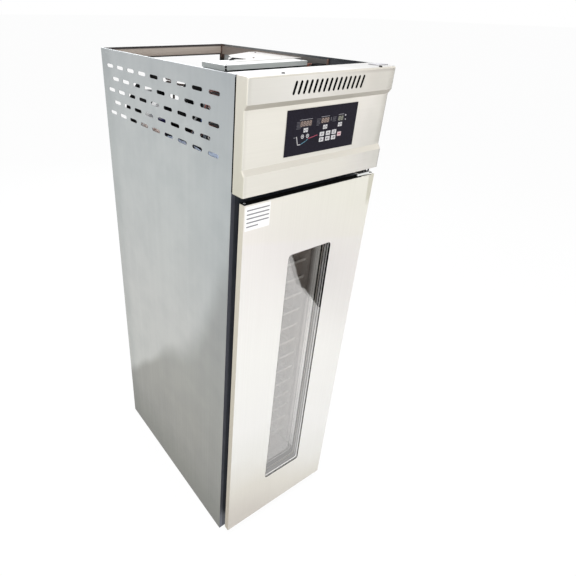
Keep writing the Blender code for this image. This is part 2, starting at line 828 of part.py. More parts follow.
def blade(centre, start_angle, root_radius, tip_radius):
    """One twisted blade, steep at its root and flat at its tip, swept forward as it goes out."""
    shape = bmesh.new()
    grid = []
    for k in range(BLADE_STEPS + 1):
        share = k / BLADE_STEPS
        radius = root_radius + (tip_radius - root_radius) * share
        pitch = math.radians(BLADE_ROOT_PITCH + (BLADE_TIP_PITCH - BLADE_ROOT_PITCH) * share)
        chord_growth = (BLADE_TIP_CHORD_SHARE - BLADE_ROOT_CHORD_SHARE) * share
        chord = tip_radius * (BLADE_ROOT_CHORD_SHARE + chord_growth)
        swing = start_angle + BLADE_SWEEP * share
        section = []
        for across, camber in BLADE_SECTION_SHARES:
            along = chord * across * math.cos(pitch)
            rise = chord * (across * math.sin(pitch)) + chord * camber
            angle = swing + along / radius
            section.append((radius, angle, rise))
        rings = []
        for half_thickness in (-BLADE_THICKNESS / 2, BLADE_THICKNESS / 2):
            rings.append(
                [
                    shape.verts.new(
                        (
                            centre[0] + r * math.cos(a),
                            centre[1] + y + half_thickness,
                            centre[2] + r * math.sin(a),
                        )
                    )
                    for r, a, y in section
                ]
            )
        grid.append(rings[0] + rings[1][::-1])
    count = len(grid[0])
    for a, b in zip(grid, grid[1:]):
        for s in range(count):
            after = (s + 1) % count
            shape.faces.new((a[s], a[after], b[after], b[s]))
    half = count // 2
    for ring, turn in ((grid[0], -1), (grid[-1], 1)):
        for s in range(half - 1):
            strip = (ring[s], ring[s + 1], ring[count - 2 - s], ring[count - 1 - s])
            shape.faces.new(strip[::turn])
    bmesh.ops.recalc_face_normals(shape, faces=shape.faces)
    return shape


def fan_wheel(name, centre, radius, blades, material, axis):
    hub = [
        (SHAFT_RADIUS + SEAT, -HUB_LENGTH / 2),
        (HUB_RADIUS, -HUB_LENGTH / 2),
        (HUB_RADIUS, HUB_LENGTH / 2),
        (SHAFT_RADIUS + SEAT, HUB_LENGTH / 2),
    ]
    wheel = piece(name, turned(hub, centre, "y", 16), material, smooth=True, carrier=axis)
    vanes = [
        blade(centre, math.tau * k / blades, HUB_RADIUS - BLADE_THICKNESS * 2, radius)
        for k in range(blades)
    ]
    join(wheel, several(vanes))


def fan_motor(name, front, radius, length, material):
    """A shaded-pole motor: its shaft reaches forward into the fan's hub."""
    profile = [
        (0, HUB_LENGTH),
        (SHAFT_RADIUS, HUB_LENGTH),
        (SHAFT_RADIUS, 0),
        (radius / 2, 0),
        (radius / 2, -length * MOTOR_NOSE_SHARE),
        (radius, -length * MOTOR_SHOULDER_SHARE),
        (radius, -length),
        (0, -length),
    ]
    return piece(name, turned(profile, front, "y", 12), material, smooth=True)


def fan_guard(name, centre, material):
    """Wire rings on four spokes, dished towards the middle."""
    wire = GUARD_WIRE
    steps = GUARD_RING_COUNT - 1
    rings = []
    for k in range(GUARD_RING_COUNT):
        radius = GUARD_INNER_RADIUS + (GUARD_OUTER_RADIUS - GUARD_INNER_RADIUS) * k / steps
        along = wire / 2 + GUARD_DISH * (steps - k) / steps
        section = [
            (radius - wire / 2, along - wire / 2),
            (radius + wire / 2, along - wire / 2),
            (radius + wire / 2, along + wire / 2),
            (radius - wire / 2, along + wire / 2),
        ]
        rings.append(turned(section, centre, "y", 12))
    guard = piece(name, several(rings), material)
    spokes = []
    for k in range(4):
        angle = math.tau * (k + 0.5) / 4
        ray = Vector((math.cos(angle), 0, math.sin(angle)))
        forward = Vector((0, -1, 0))
        outer = Vector(centre) + ray * (GUARD_OUTER_RADIUS + wire) + forward * (wire / 2)
        inner = Vector(centre) + ray * (GUARD_INNER_RADIUS - wire) + forward * (wire / 2 + GUARD_DISH)
        spokes.append(swept([outer, inner], wire / 2, 4))
    join(guard, several(spokes))


def coil_levels(low, high):
    """The heights of a coil's tubes: an even number, so that both ends leave on one side."""
    rows = int((high - low) / COIL_TUBE_SPACING / 2) * 2
    first = (low + high - (rows - 1) * COIL_TUBE_SPACING) / 2
    return [first + row * COIL_TUBE_SPACING for row in range(rows)]


def finned_coil(name, low, high, fins, material):
    """A fin pack between two end plates, with a return bend for each pair of tubes."""
    pitch = (high[0] - low[0]) / fins
    tip_front = low[1] + COIL_END
    tip_back = high[1] - COIL_END
    front = []
    back = []
    for k in range(fins):
        x = low[0] + pitch * k
        edge = x + pitch * FIN_SHARE
        front += [(x, tip_front), (edge, tip_front)]
        front += [(edge, tip_front + FIN_DEPTH), (x + pitch, tip_front + FIN_DEPTH)]
        back += [(x, tip_back), (edge, tip_back)]
        back += [(edge, tip_back - FIN_DEPTH), (x + pitch, tip_back - FIN_DEPTH)]
    pack = prism(front + back[::-1], "z", low[2] + FIN_DEPTH, high[2] - FIN_DEPTH)
    coil = piece(name, pack, material)
    ends = []
    bends = []
    middle = (low[1] + high[1]) / 2
    levels = coil_levels(low[2], high[2])
    for x, side in ((low[0] - COIL_END / 2, -1), (high[0] - COIL_END / 2, 1)):
        ends.append(box((x, low[1], low[2]), (x + COIL_END, high[1], high[2])))
        outer = x + (COIL_END if side > 0 else 0)
        reach = outer + side * COIL_TUBE_SPACING / 2
        root = outer - side * COIL_END / 2
        for level in levels[(0 if side > 0 else 1) : -1 : 2]:
            route = [
                (root, middle, level),
                (reach, middle, level),
                (reach, middle, level + COIL_TUBE_SPACING),
                (root, middle, level + COIL_TUBE_SPACING),
            ]
            bends.append(swept(bent_route(route, COIL_BEND_RADIUS, 1), COIL_TUBE_RADIUS))
    join(coil, several(ends), several(bends))


# The door

# Small sizes of the door
LINER_STEP = 0.024
GASKET_EDGE = 0.0255
GASKET_WIDTH = 0.014
GASKET_FOOT_SHARE = 0.25
GASKET_WAIST_SHARE = 0.75
GASKET_RISE = 0.0355
GASKET_DROP = 0.033
GLASS_LAP = 0.012
SPACER_WALL = 0.010
SPACER_STEP = 0.004
LINER_WINDOW_LAP = 0.004
BUSH_RADIUS = 0.007
BUSH_FLANGE_RADIUS = 0.010
BUSH_FLANGE = 0.0015
BUSH_LENGTH = 0.024


def window_outline(grow):
    """The window opening, made larger by grow on every side."""
    half = WINDOW_WIDTH / 2 + grow
    return rounded_rectangle(
        (WINDOW_CENTRE - half, WINDOW_BOTTOM - grow),
        (WINDOW_CENTRE + half, WINDOW_TOP + grow),
        WINDOW_CORNER + grow,
    )


def hinge_bores(radius, depth):
    """Round pockets for the two hinge bushes, in the door's top and bottom edges."""
    outline = circle(radius, 16, (HINGE_X, HINGE_Y))
    return several(
        [
            prism(outline, "z", DOOR_TOP - depth, DOOR_TOP + OVERRUN),
            prism(outline, "z", DOOR_BOTTOM - OVERRUN, DOOR_BOTTOM + depth),
        ]
    )


def door(steel, foam, gasket_rubber, glass, black, nylon):
    axis = joint_axis("door_axis", HINGE_X, HINGE_Y, (DOOR_TOP + DOOR_BOTTOM) / 2)
    half = DOOR_WIDTH / 2
    face = -FRONT_PROJECTION
    pan_back = face + DOOR_PAN_DEPTH
    liner_back = pan_back + DOOR_LINER_DEPTH
    bore = BUSH_RADIUS + SEAT

    pan = piece(
        "door_outer_pan",
        box((-half, face, DOOR_BOTTOM), (half, pan_back, DOOR_TOP)),
        steel,
        carrier=axis,
    )
    hollow = box(
        (-half + SHEET, face + SHEET, DOOR_BOTTOM + SHEET),
        (half - SHEET, pan_back + OVERRUN, DOOR_TOP - SHEET),
    )
    window = prism(window_outline(0), "y", face - OVERRUN, face + OVERRUN)
    cut(pan, hollow, window, hinge_bores(bore, DOOR_PAN_DEPTH / 2))

    inner_half = half - SHEET - SEAT
    step_half = half - LINER_STEP
    liner = piece(
        "door_inner_liner",
        box(
            (-inner_half, pan_back - SHEET, DOOR_BOTTOM + SHEET + SEAT),
            (inner_half, pan_back, DOOR_TOP - SHEET - SEAT),
        ),
        steel,
        carrier=axis,
    )
    step = box(
        (-step_half, pan_back - SHEET / 2, DOOR_BOTTOM + LINER_STEP),
        (step_half, liner_back, DOOR_TOP - LINER_STEP),
    )
    step_hollow = box(
        (-step_half + SHEET, pan_back - OVERRUN, DOOR_BOTTOM + LINER_STEP + SHEET),
        (step_half - SHEET, liner_back - SHEET, DOOR_TOP - LINER_STEP - SHEET),
    )
    inner_window = window_outline(LINER_WINDOW_LAP)
    join(liner, step)
    cut(liner, step_hollow, prism(inner_window, "y", pan_back - OVERRUN, liner_back + OVERRUN))

    core = piece(
        "door_insulation",
        box(
            (-inner_half, face + SHEET + SEAT, DOOR_BOTTOM + SHEET + SEAT),
            (inner_half, pan_back - SHEET - SEAT, DOOR_TOP - SHEET - SEAT),
        ),
        foam,
        carrier=axis,
    )
    skin = SHEET + SEAT
    core_step = box(
        (-step_half + skin, face + DOOR_PAN_DEPTH / 2, DOOR_BOTTOM + LINER_STEP + skin),
        (step_half - skin, liner_back - skin, DOOR_TOP - LINER_STEP - skin),
    )
    glazing_hole = prism(window_outline(GLASS_LAP + SEAT), "y", face - OVERRUN, liner_back + OVERRUN)
    join(core, core_step)
    cut(core, glazing_hole, hinge_bores(bore, BUSH_LENGTH + SEAT))

    outer_glass_back = face + SHEET + SEAT + GLASS
    inner_glass_back = liner_back - SHEET - SEAT
    inner_glass_front = inner_glass_back - GLASS
    pane = window_outline(GLASS_LAP)
    piece(
        "window_outer_glass",
        prism(pane, "y", face + SHEET + SEAT, outer_glass_back),
        glass,
        carrier=axis,
    )
    piece(
        "window_inner_glass",
        prism(pane, "y", inner_glass_front, inner_glass_back),
        glass,
        carrier=axis,
    )
    spacer_front = outer_glass_back + SEAT
    spacer_back = inner_glass_front - SEAT
    spacer = piece("window_spacer", prism(pane, "y", spacer_front, spacer_back), black, carrier=axis)
    wide = prism(
        window_outline(GLASS_LAP - SPACER_WALL),
        "y",
        spacer_front - OVERRUN,
        spacer_back + OVERRUN,
    )
    rebate = prism(
        window_outline(GLASS_LAP - SPACER_WALL + SPACER_STEP),
        "y",
        (spacer_front + spacer_back) / 2,
        spacer_back + OVERRUN,
    )
    cut(spacer, wide, rebate)

    gasket_back = -SEAT
    gasket_front = liner_back + SEAT
    thick = gasket_back - gasket_front
    width = GASKET_WIDTH
    section = [
        (0, gasket_front),
        (-width, gasket_front),
        (-width, gasket_front + thick * GASKET_FOOT_SHARE),
        (-width * GASKET_WAIST_SHARE, gasket_front + thick / 2),
        (-width, gasket_back - thick * GASKET_FOOT_SHARE),
        (-width, gasket_back),
        (0, gasket_back),
        (0, gasket_back - thick * GASKET_FOOT_SHARE),
        (-width * (1 - GASKET_WAIST_SHARE), gasket_front + thick / 2),
        (0, gasket_front + thick * GASKET_FOOT_SHARE),
    ]
    edge = half - GASKET_EDGE
    piece(
        "door_gasket",
        ring_moulding(section, (-edge, DOOR_BOTTOM + GASKET_RISE), (edge, DOOR_TOP - GASKET_DROP)),
        gasket_rubber,
        carrier=axis,
    )

    for name, level, up in (("hinge_bush_top", DOOR_TOP, 1), ("hinge_bush_bottom", DOOR_BOTTOM, -1)):
        pin_bore = PIN_RADIUS + SEAT
        profile = [
            (pin_bore, up * (BUSH_FLANGE + SEAT)),
            (BUSH_FLANGE_RADIUS, up * (BUSH_FLANGE + SEAT)),
            (BUSH_FLANGE_RADIUS, up * SEAT),
            (BUSH_RADIUS, up * SEAT),
            (BUSH_RADIUS, -up * BUSH_LENGTH),
            (pin_bore, -up * BUSH_LENGTH),
        ]
        centre = (HINGE_X, HINGE_Y, level)
        piece(name, turned(profile, centre, "z", 12), nylon, smooth=True, carrier=axis)


# The hinges on the case

# Small sizes of the hinges
BRACKET_LENGTH = 0.056
BRACKET_NOSE = 0.011
BRACKET_LEAF_HEIGHT = 0.0175
PIN_HEAD_RADIUS = 0.0065
PIN_HEAD = 0.003


def hinges(steel, chrome):
    """A bent plate and a headed pin above the door, and the same below it."""
    back = -SEAT
    nose_steps = 6
    for name, pin_name, level, up in (
        ("hinge_bracket_top", "hinge_pin_top", DOOR_TOP, 1),
        ("hinge_bracket_bottom", "hinge_pin_bottom", DOOR_BOTTOM, -1),
    ):
        near = level + up * (BUSH_FLANGE + SEAT * 2)
        far = near + up * PLATE
        right = HINGE_X + BRACKET_NOSE
        nose = [
            (
                HINGE_X + BRACKET_NOSE * math.sin(math.pi / 2 * k / nose_steps),
                HINGE_Y - BRACKET_NOSE * math.cos(math.pi / 2 * k / nose_steps),
            )
            for k in range(nose_steps + 1)
        ]
        outline = [*nose, (right, back), (right - BRACKET_LENGTH, back), (right - BRACKET_LENGTH, HINGE_Y)]
        bracket = piece(name, prism(outline, "z", min(near, far), max(near, far)), steel)
        leaf_end = near + up * BRACKET_LEAF_HEIGHT
        leaf = box(
            (right - BRACKET_LENGTH, back - PLATE, min(near, leaf_end)),
            (right, back, max(near, leaf_end)),
        )
        pin_hole = prism(
            circle(PIN_RADIUS + SEAT, 16, (HINGE_X, HINGE_Y)),
            "z",
            min(near, far) - OVERRUN,
            max(near, far) + OVERRUN,
        )
        join(bracket, leaf)
        cut(bracket, pin_hole)

        head = far + up * SEAT
        tip = level - up * (BUSH_LENGTH - SEAT)
        profile = [
            (0, head + up * PIN_HEAD),
            (PIN_HEAD_RADIUS, head + up * PIN_HEAD),
            (PIN_HEAD_RADIUS, head),
            (PIN_RADIUS, head),
            (PIN_RADIUS, tip),
            (0, tip),
        ]
        piece(pin_name, turned(profile, (HINGE_X, HINGE_Y, 0), "z", 12), chrome, smooth=True)


# The fascia

# Small sizes of the fascia
FASCIA_CORNER = 0.004
FASCIA_BEND = 0.006
FASCIA_CUTOUT_MARGIN = 0.012
FRONT_RAIL_HEIGHT = 0.040
FRONT_RAIL_DEPTH = 0.020


# A bevel profile of one half is a round bend
ROUND_PROFILE = 0.5


def fascia_profile(inset):
    """The fascia's section in YZ, open at the back, drawn smaller by inset for its hollow."""
    front = -FRONT_PROJECTION + inset
    recess = front + FASCIA_RECESS
    back = -FASCIA_SEAM + (OVERRUN if inset else 0)
    top = CABINET_HEIGHT - inset
    bend = FASCIA_BEND - inset
    return [
        (back, FASCIA_BOTTOM + inset),
        (front, FASCIA_BOTTOM + inset),
        (front, LOWER_BAND_TOP),
        (recess, LOWER_SLOPE_TOP),
        (recess, UPPER_SLOPE_BOTTOM),
        (front, UPPER_BAND_BOTTOM),
        *(
            (
                front + bend - bend * math.cos(math.pi / 2 * k / 3),
                top - bend + bend * math.sin(math.pi / 2 * k / 3),
            )
            for k in range(4)
        ),
        (back, top),
    ]


def fascia_block(inset):
    """The fascia's outer form, or with an inset its hollow, with rounded corners at both ends."""
    half = HALF - inset
    corner = FASCIA_CORNER - inset
    shape = prism(fascia_profile(inset), "x", -half, half)
    ends = [
        edge
        for edge in shape.edges
        if all(abs(abs(v.co.x) - half) < SEAT for v in edge.verts)
        and abs(edge.verts[0].co.x - edge.verts[1].co.x) < SEAT
        and max(v.co.y for v in edge.verts) < -FASCIA_SEAM - FASCIA_BEND
    ]
    bmesh.ops.bevel(shape, geom=ends, offset=corner, segments=2, profile=ROUND_PROFILE, affect="EDGES")
    return shape


def fascia(steel, dark_steel):
    """A folded sheet with a recessed middle, slanted air slots and a flange over the case's top."""
    front_sheet = piece("fascia", fascia_block(0), steel)
    half = HALF
    flange_half = half - PANEL_TOP_LIP - SEAT
    flange = box(
        (-flange_half, -FASCIA_SEAM - FASCIA_BEND, CABINET_HEIGHT - SHEET),
        (flange_half, FASCIA_TOP_FLANGE, CABINET_HEIGHT),
    )
    face = -FRONT_PROJECTION
    slots = []
    lean = math.atan2(AIR_SLOT_LEAN, AIR_SLOT_HEIGHT)
    middle = CABINET_HEIGHT - AIR_SLOT_DROP - AIR_SLOT_HEIGHT / 2
    for k in range(AIR_SLOTS):
        x = AIR_SLOTS_CENTRE + AIR_SLOT_SPACING * (k - (AIR_SLOTS - 1) / 2)
        upright = obround(AIR_SLOT_HEIGHT / math.cos(lean), AIR_SLOT_WIDTH, 3)
        turned_slot = [
            (
                x + u * math.sin(lean) + v * math.cos(lean),
                middle + u * math.cos(lean) - v * math.sin(lean),
            )
            for u, v in upright
        ]
        slots.append(prism(turned_slot, "y", face - OVERRUN, face + OVERRUN))
    margin = FASCIA_CUTOUT_MARGIN
    panel_hole = box(
        (PANEL_CENTRE - PANEL_WIDTH / 2 + margin, face - OVERRUN, PANEL_BOTTOM + margin),
        (PANEL_CENTRE + PANEL_WIDTH / 2 - margin, face + OVERRUN, PANEL_BOTTOM + PANEL_HEIGHT - margin),
    )
    cut(front_sheet, fascia_block(SHEET))
    join(front_sheet, flange)
    cut(front_sheet, several(slots + [panel_hole]))

    rail_half = HALF - PANEL_RETURN - SEAT
    rail_top = CABINET_HEIGHT - SHEET - SEAT
    rail = folded(
        [
            (FRONT_RAIL_DEPTH, rail_top),
            (SEAT, rail_top),
            (SEAT, rail_top - FRONT_RAIL_HEIGHT),
            (FRONT_RAIL_DEPTH, rail_top - FRONT_RAIL_HEIGHT),
        ],
        STRONG_SHEET,
    )
    piece("front_rail", prism(rail, "x", -rail_half, rail_half), dark_steel)


# The control panel

# Small sizes of the control panel
PANEL_RIM = 0.002
PANEL_RIM_DEPTH = 0.010
BOARD_THICKNESS = 0.0016
BOARD_BACK_PART = 0.012
BOARD_PART_SHARES = ((0.12, 0.30, 0.30, 0.80), (0.42, 0.55, 0.20, 0.45), (0.66, 0.90, 0.35, 0.85))


def control_panel(black, board_green):
    """A flat keypad film on a tray whose rim passes through the fascia, and the board behind it."""
    low_x = PANEL_CENTRE - PANEL_WIDTH / 2
    high_x = PANEL_CENTRE + PANEL_WIDTH / 2
    high_z = PANEL_BOTTOM + PANEL_HEIGHT
    recess = -FRONT_PROJECTION + FASCIA_RECESS
    plate_back = recess - SEAT
    panel = piece(
        "control_panel",
        box((low_x, plate_back - PANEL_PROUD, PANEL_BOTTOM), (high_x, plate_back, high_z)),
        black,
    )
    margin = FASCIA_CUTOUT_MARGIN + SEAT
    rim_back = plate_back + PANEL_RIM_DEPTH
    rim = box(
        (low_x + margin, plate_back - PANEL_PROUD / 2, PANEL_BOTTOM + margin),
        (high_x - margin, rim_back, high_z - margin),
    )
    inner = margin + PANEL_RIM
    rim_hollow = box(
        (low_x + inner, plate_back, PANEL_BOTTOM + inner),
        (high_x - inner, rim_back + OVERRUN, high_z - inner),
    )
    join(panel, rim)
    cut(panel, rim_hollow)

    board_front = rim_back + SEAT
    board_back = board_front + BOARD_THICKNESS
    board = piece(
        "control_board",
        box(
            (low_x + margin, board_front, PANEL_BOTTOM + margin),
            (high_x - margin, board_back, high_z - margin),
        ),
        board_green,
    )
    parts = []
    span_x = high_x - low_x - 2 * margin
    span_z = PANEL_HEIGHT - 2 * margin
    corner_x = low_x + margin
    corner_z = PANEL_BOTTOM + margin
    root = board_back - BOARD_THICKNESS / 2
    for left, right, bottom, top in BOARD_PART_SHARES:
        parts.append(
            box(
                (corner_x + span_x * left, root, corner_z + span_z * bottom),
                (corner_x + span_x * right, board_back + BOARD_BACK_PART, corner_z + span_z * top),
            )
        )
    join(board, several(parts))


# The cooling unit on the deck

# Small sizes of the cooling unit, and its places from the back and the sides
COMPRESSOR_INSET = 0.120
COMPRESSOR_SETBACK = 0.165
COMPRESSOR_RADIUS = 0.072
COMPRESSOR_FOOT = 0.012
COMPRESSOR_HEIGHT = 0.160
COMPRESSOR_SEAM = 0.004
COMPRESSOR_BOTTOM_SHARES = ((0.80, 0), (0.97, 0.10), (1, 0.20))
COMPRESSOR_DOME_SHARE = 0.30
BASE_WIDTH = 0.180
BASE_LENGTH = 0.120
TERMINAL_WIDTH = 0.050
TERMINAL_HEIGHT = 0.060
TERMINAL_DEPTH = 0.030
BOX_SETBACK = 0.608
BOX_DEPTH = 0.132
BOX_RIGHT_INSET = 0.048
BOX_OVERHANG = 0.009
BOX_SIDE_MARGIN = 0.025
LID_DROP = 0.015
LID_EDGE = 0.016
LID_OVERHANG = 0.002
CONDENSER_OFFSET = 0.070
CONDENSER_RIGHT_INSET = 0.090
CONDENSER_TO_BOX = 0.018
CONDENSER_DEPTH = 0.048
CONDENSER_DROP = 0.048
CONDENSER_FINS = 16
SHROUD_DEPTH = 0.040
SHROUD_MARGIN = 0.0295
CONDENSER_BLADES = 4
CONDENSER_MOTOR_RADIUS = 0.040
CONDENSER_MOTOR_LENGTH = 0.060
MOTOR_ARM = 0.008
COVER_REACH = 0.320
COVER_START = 0.070
COVER_DEPTH = 0.283
COVER_FLANGE = 0.030
COVER_FLANGE_START = 0.132
COVER_CORNER_SHARES = ((0.35, 0.71), (0.86, 0.99))
RELAY_WIDTH = 0.036
RELAY_DEPTH = 0.048
RELAY_HEIGHT = 0.095
RELAY_TO_BOX = 0.064
RELAY_DROP = 0.118
RELAY_ROUNDING = 0.003
DRIER_RADIUS = 0.011
DRIER_LENGTH = 0.100
DRIER_INSET = 0.135
DRIER_SETBACK = 0.270
PORT_SHARE = 0.62
HOT_PIPE_REACH = 0.070
LIQUID_REACH = 0.026
SUCTION_REACH = 0.045
SUCTION_RISE = 0.200
PIPE_RADIUS = 0.004
PIPE_BEND = 0.020
VALVE_INSET = 0.080
VALVE_SETBACK = 0.110
VALVE_RADIUS = 0.013
VALVE_HEIGHT = 0.050
VALVE_NECK_SHARE = 0.6
VALVE_REACH = 0.030
VALVE_COIL_WIDTH = 0.032
VALVE_COIL_LENGTH = 0.040
VALVE_COIL_HEIGHT = 0.036
GLAND_RISE = 0.040
GLAND_BORE = 0.005
GLAND_THREAD = 0.008
GLAND_NUT = 0.011
GLAND_REACH = 0.008
COMPRESSOR_X = COMPRESSOR_INSET - HALF
COMPRESSOR_Y = BODY_DEPTH - COMPRESSOR_SETBACK
CONDENSER_LEFT = COMPRESSOR_X + CONDENSER_OFFSET
CONDENSER_RIGHT = HALF - CONDENSER_RIGHT_INSET
BOX_LEFT = CONDENSER_LEFT - BOX_OVERHANG
BOX_RIGHT = HALF - BOX_RIGHT_INSET
BOX_FRONT = BODY_DEPTH - BOX_SETBACK
BOX_BACK = BOX_FRONT + BOX_DEPTH
LID_TOP = CABINET_HEIGHT - LID_DROP
BOX_TOP = LID_TOP - SHEET - SEAT
CONDENSER_FRONT = BOX_BACK + CONDENSER_TO_BOX
CONDENSER_BASE = DECK_LEVEL + SEAT
CONDENSER_TOP = LID_TOP - CONDENSER_DROP
CONDENSER_FAN_X = (CONDENSER_LEFT + CONDENSER_RIGHT) / 2
CONDENSER_FAN_LEVEL = (CONDENSER_BASE + CONDENSER_TOP) / 2
CONDENSER_FAN_RADIUS = (CONDENSER_TOP - CONDENSER_BASE) / 2 - SHROUD_MARGIN


def condenser_unit(aluminium, black):
    low = (CONDENSER_LEFT, CONDENSER_FRONT, CONDENSER_BASE)
    high = (CONDENSER_RIGHT, CONDENSER_FRONT + CONDENSER_DEPTH, CONDENSER_TOP)
    finned_coil("condenser_coil", low, high, CONDENSER_FINS, aluminium)

    shroud_front = high[1] + SEAT
    shroud_back = shroud_front + SHROUD_DEPTH
    shroud = piece(
        "condenser_fan_shroud",
        box((low[0], shroud_front, low[2]), (high[0], shroud_back, high[2])),
        black,
    )
    hollow = box(
        (low[0] + SHEET, shroud_front - OVERRUN, low[2] + SHEET),
        (high[0] - SHEET, shroud_back - SHEET, high[2] - SHEET),
    )
    mouth = circle(CONDENSER_FAN_RADIUS + FAN_TIP_GAP, 24, (CONDENSER_FAN_X, CONDENSER_FAN_LEVEL))
    cut(shroud, hollow, prism(mouth, "y", shroud_front - OVERRUN, shroud_back + OVERRUN))

    fan_centre = (CONDENSER_FAN_X, shroud_back - HUB_LENGTH / 2, CONDENSER_FAN_LEVEL)
    axis = joint_axis("condenser_fan_axis", *fan_centre)
    fan_wheel(
        "condenser_fan_blade",
        fan_centre,
        CONDENSER_FAN_RADIUS,
        CONDENSER_BLADES,
        aluminium,
        axis,
    )
    motor_front = fan_centre[1] + HUB_LENGTH / 2 + SEAT
    motor = fan_motor(
        "condenser_fan_motor",
        (CONDENSER_FAN_X, motor_front, CONDENSER_FAN_LEVEL),
        CONDENSER_MOTOR_RADIUS,
        CONDENSER_MOTOR_LENGTH,
        black,
    )
    arm_front = shroud_back + SEAT
    arm_reach = CONDENSER_FAN_RADIUS + FAN_TIP_GAP + MOTOR_ARM
    arms = box(
        (
            CONDENSER_FAN_X - arm_reach,
            arm_front + CONDENSER_MOTOR_LENGTH * MOTOR_NOSE_SHARE,
            CONDENSER_FAN_LEVEL - MOTOR_ARM,
        ),
        (
            CONDENSER_FAN_X + arm_reach,
            arm_front + CONDENSER_MOTOR_LENGTH * MOTOR_NOSE_SHARE + STRONG_SHEET,
            CONDENSER_FAN_LEVEL + MOTOR_ARM,
        ),
    )
    feet = [
        box(
            (
                CONDENSER_FAN_X + side * arm_reach - MOTOR_ARM / 2,
                arm_front,
                CONDENSER_FAN_LEVEL - MOTOR_ARM,
            ),
            (
                CONDENSER_FAN_X + side * arm_reach + MOTOR_ARM / 2,
                arm_front + CONDENSER_MOTOR_LENGTH * MOTOR_NOSE_SHARE + STRONG_SHEET / 2,
                CONDENSER_FAN_LEVEL + MOTOR_ARM,
            ),
        )
        for side in (-1, 1)
    ]
    join(motor, arms, several(feet))


def compressor(black, grey_plastic):
    """A welded steel pot on a foot plate, with its electrical cover on the front."""
    x, y = COMPRESSOR_X, COMPRESSOR_Y
    base = DECK_LEVEL + SEAT + COMPRESSOR_FOOT
    radius = COMPRESSOR_RADIUS
    height = COMPRESSOR_HEIGHT
    seam = base + height / 2
    profile = [(0, base)]
    profile += [(radius * across, base + height * up) for across, up in COMPRESSOR_BOTTOM_SHARES]
    profile += [(radius, seam - COMPRESSOR_SEAM)]
    profile += [(radius + COMPRESSOR_SEAM, seam - COMPRESSOR_SEAM / 2)]
    profile += [(radius + COMPRESSOR_SEAM, seam + COMPRESSOR_SEAM / 2), (radius, seam + COMPRESSOR_SEAM)]
    dome = height * COMPRESSOR_DOME_SHARE
    for k in range(1, 6):
        angle = math.pi / 2 * k / 6
        profile.append((radius * math.cos(angle), base + height - dome + dome * math.sin(angle)))
    profile.append((0, base + height))
    pot = piece("compressor", turned(profile, (x, y, 0), "z", 16), black, smooth=True)
    foot = rounded_rectangle(
        (x - BASE_LENGTH / 2, y - BASE_WIDTH / 2),
        (x + BASE_LENGTH / 2, y + BASE_WIDTH / 2),
        COMPRESSOR_FOOT,
        2,
    )
    plate_top = base + STRONG_SHEET
    feet = [
        prism(
            circle(
                COMPRESSOR_FOOT,
                8,
                (x + sx * (BASE_LENGTH / 2 - COMPRESSOR_FOOT), y + sy * (BASE_WIDTH / 2 - COMPRESSOR_FOOT)),
            ),
            "z",
            DECK_LEVEL + SEAT,
            base + STRONG_SHEET / 2,
        )
        for sx in (-1, 1)
        for sy in (-1, 1)
    ]
    join(pot, prism(foot, "z", base - STRONG_SHEET, plate_top), several(feet))

    front = y - radius - COMPRESSOR_SEAM - SEAT
    cover = piece(
        "compressor_terminal_cover",
        box(
            (x - TERMINAL_WIDTH / 2, front - TERMINAL_DEPTH, plate_top + SEAT),
            (x + TERMINAL_WIDTH / 2, front, plate_top + TERMINAL_HEIGHT),
        ),
        grey_plastic,
    )
    rounding = cover.modifiers.new("rounded edges", "BEVEL")
    rounding.width = COMPRESSOR_SEAM
    rounding.segments = 2


def electrical_box(zinc, bright, nylon):
    """The sheet box of the switchgear with its lid, and the gland that the mains cord comes in by."""
    low_x, high_x, back = BOX_LEFT, BOX_RIGHT, BOX_BACK
    base = DECK_LEVEL + SEAT
    case = piece("electrical_box", box((low_x, BOX_FRONT, base), (high_x, back, BOX_TOP)), zinc)
    hollow = box(
        (low_x + SHEET, BOX_FRONT + SHEET, base + SHEET),
        (high_x - SHEET, back - SHEET, BOX_TOP + OVERRUN),
    )
    wire_way = box(
        (low_x - OVERRUN, BOX_FRONT + BOX_SIDE_MARGIN, base + BOX_SIDE_MARGIN),
        (low_x + OVERRUN, back - BOX_SIDE_MARGIN, BOX_TOP - BOX_SIDE_MARGIN),
    )
    gland_x = high_x
    gland_y = BOX_FRONT + BOX_DEPTH / 2
    gland_z = base + GLAND_RISE
    gland_bore = circle(GLAND_THREAD + SEAT, 12, (gland_y, gland_z))
    gland_hole = prism(gland_bore, "x", high_x - OVERRUN, high_x + OVERRUN)
    cut(case, hollow, wire_way, gland_hole)

    profile = [
        (GLAND_BORE, -GLAND_REACH),
        (GLAND_THREAD, -GLAND_REACH),
        (GLAND_THREAD, SEAT),
        (GLAND_NUT, SEAT),
        (GLAND_NUT, GLAND_NUT),
        (GLAND_THREAD, GLAND_NUT * 2),
        (GLAND_BORE, GLAND_NUT * 2),
    ]
    piece("cable_gland", turned(profile, (gland_x, gland_y, gland_z), "x", 12), nylon, smooth=True)

    reach = LID_OVERHANG + SHEET
    lid = piece(
        "electrical_box_lid",
        box(
            (low_x - reach, BOX_FRONT - reach, LID_TOP - LID_EDGE),
            (high_x + reach, back + reach, LID_TOP),
        ),
        bright,
    )
    lid_hollow = box(
        (low_x - LID_OVERHANG, BOX_FRONT - LID_OVERHANG, LID_TOP - LID_EDGE - OVERRUN),
        (high_x + LID_OVERHANG, back + LID_OVERHANG, LID_TOP - SHEET),
    )
    cut(lid, lid_hollow)


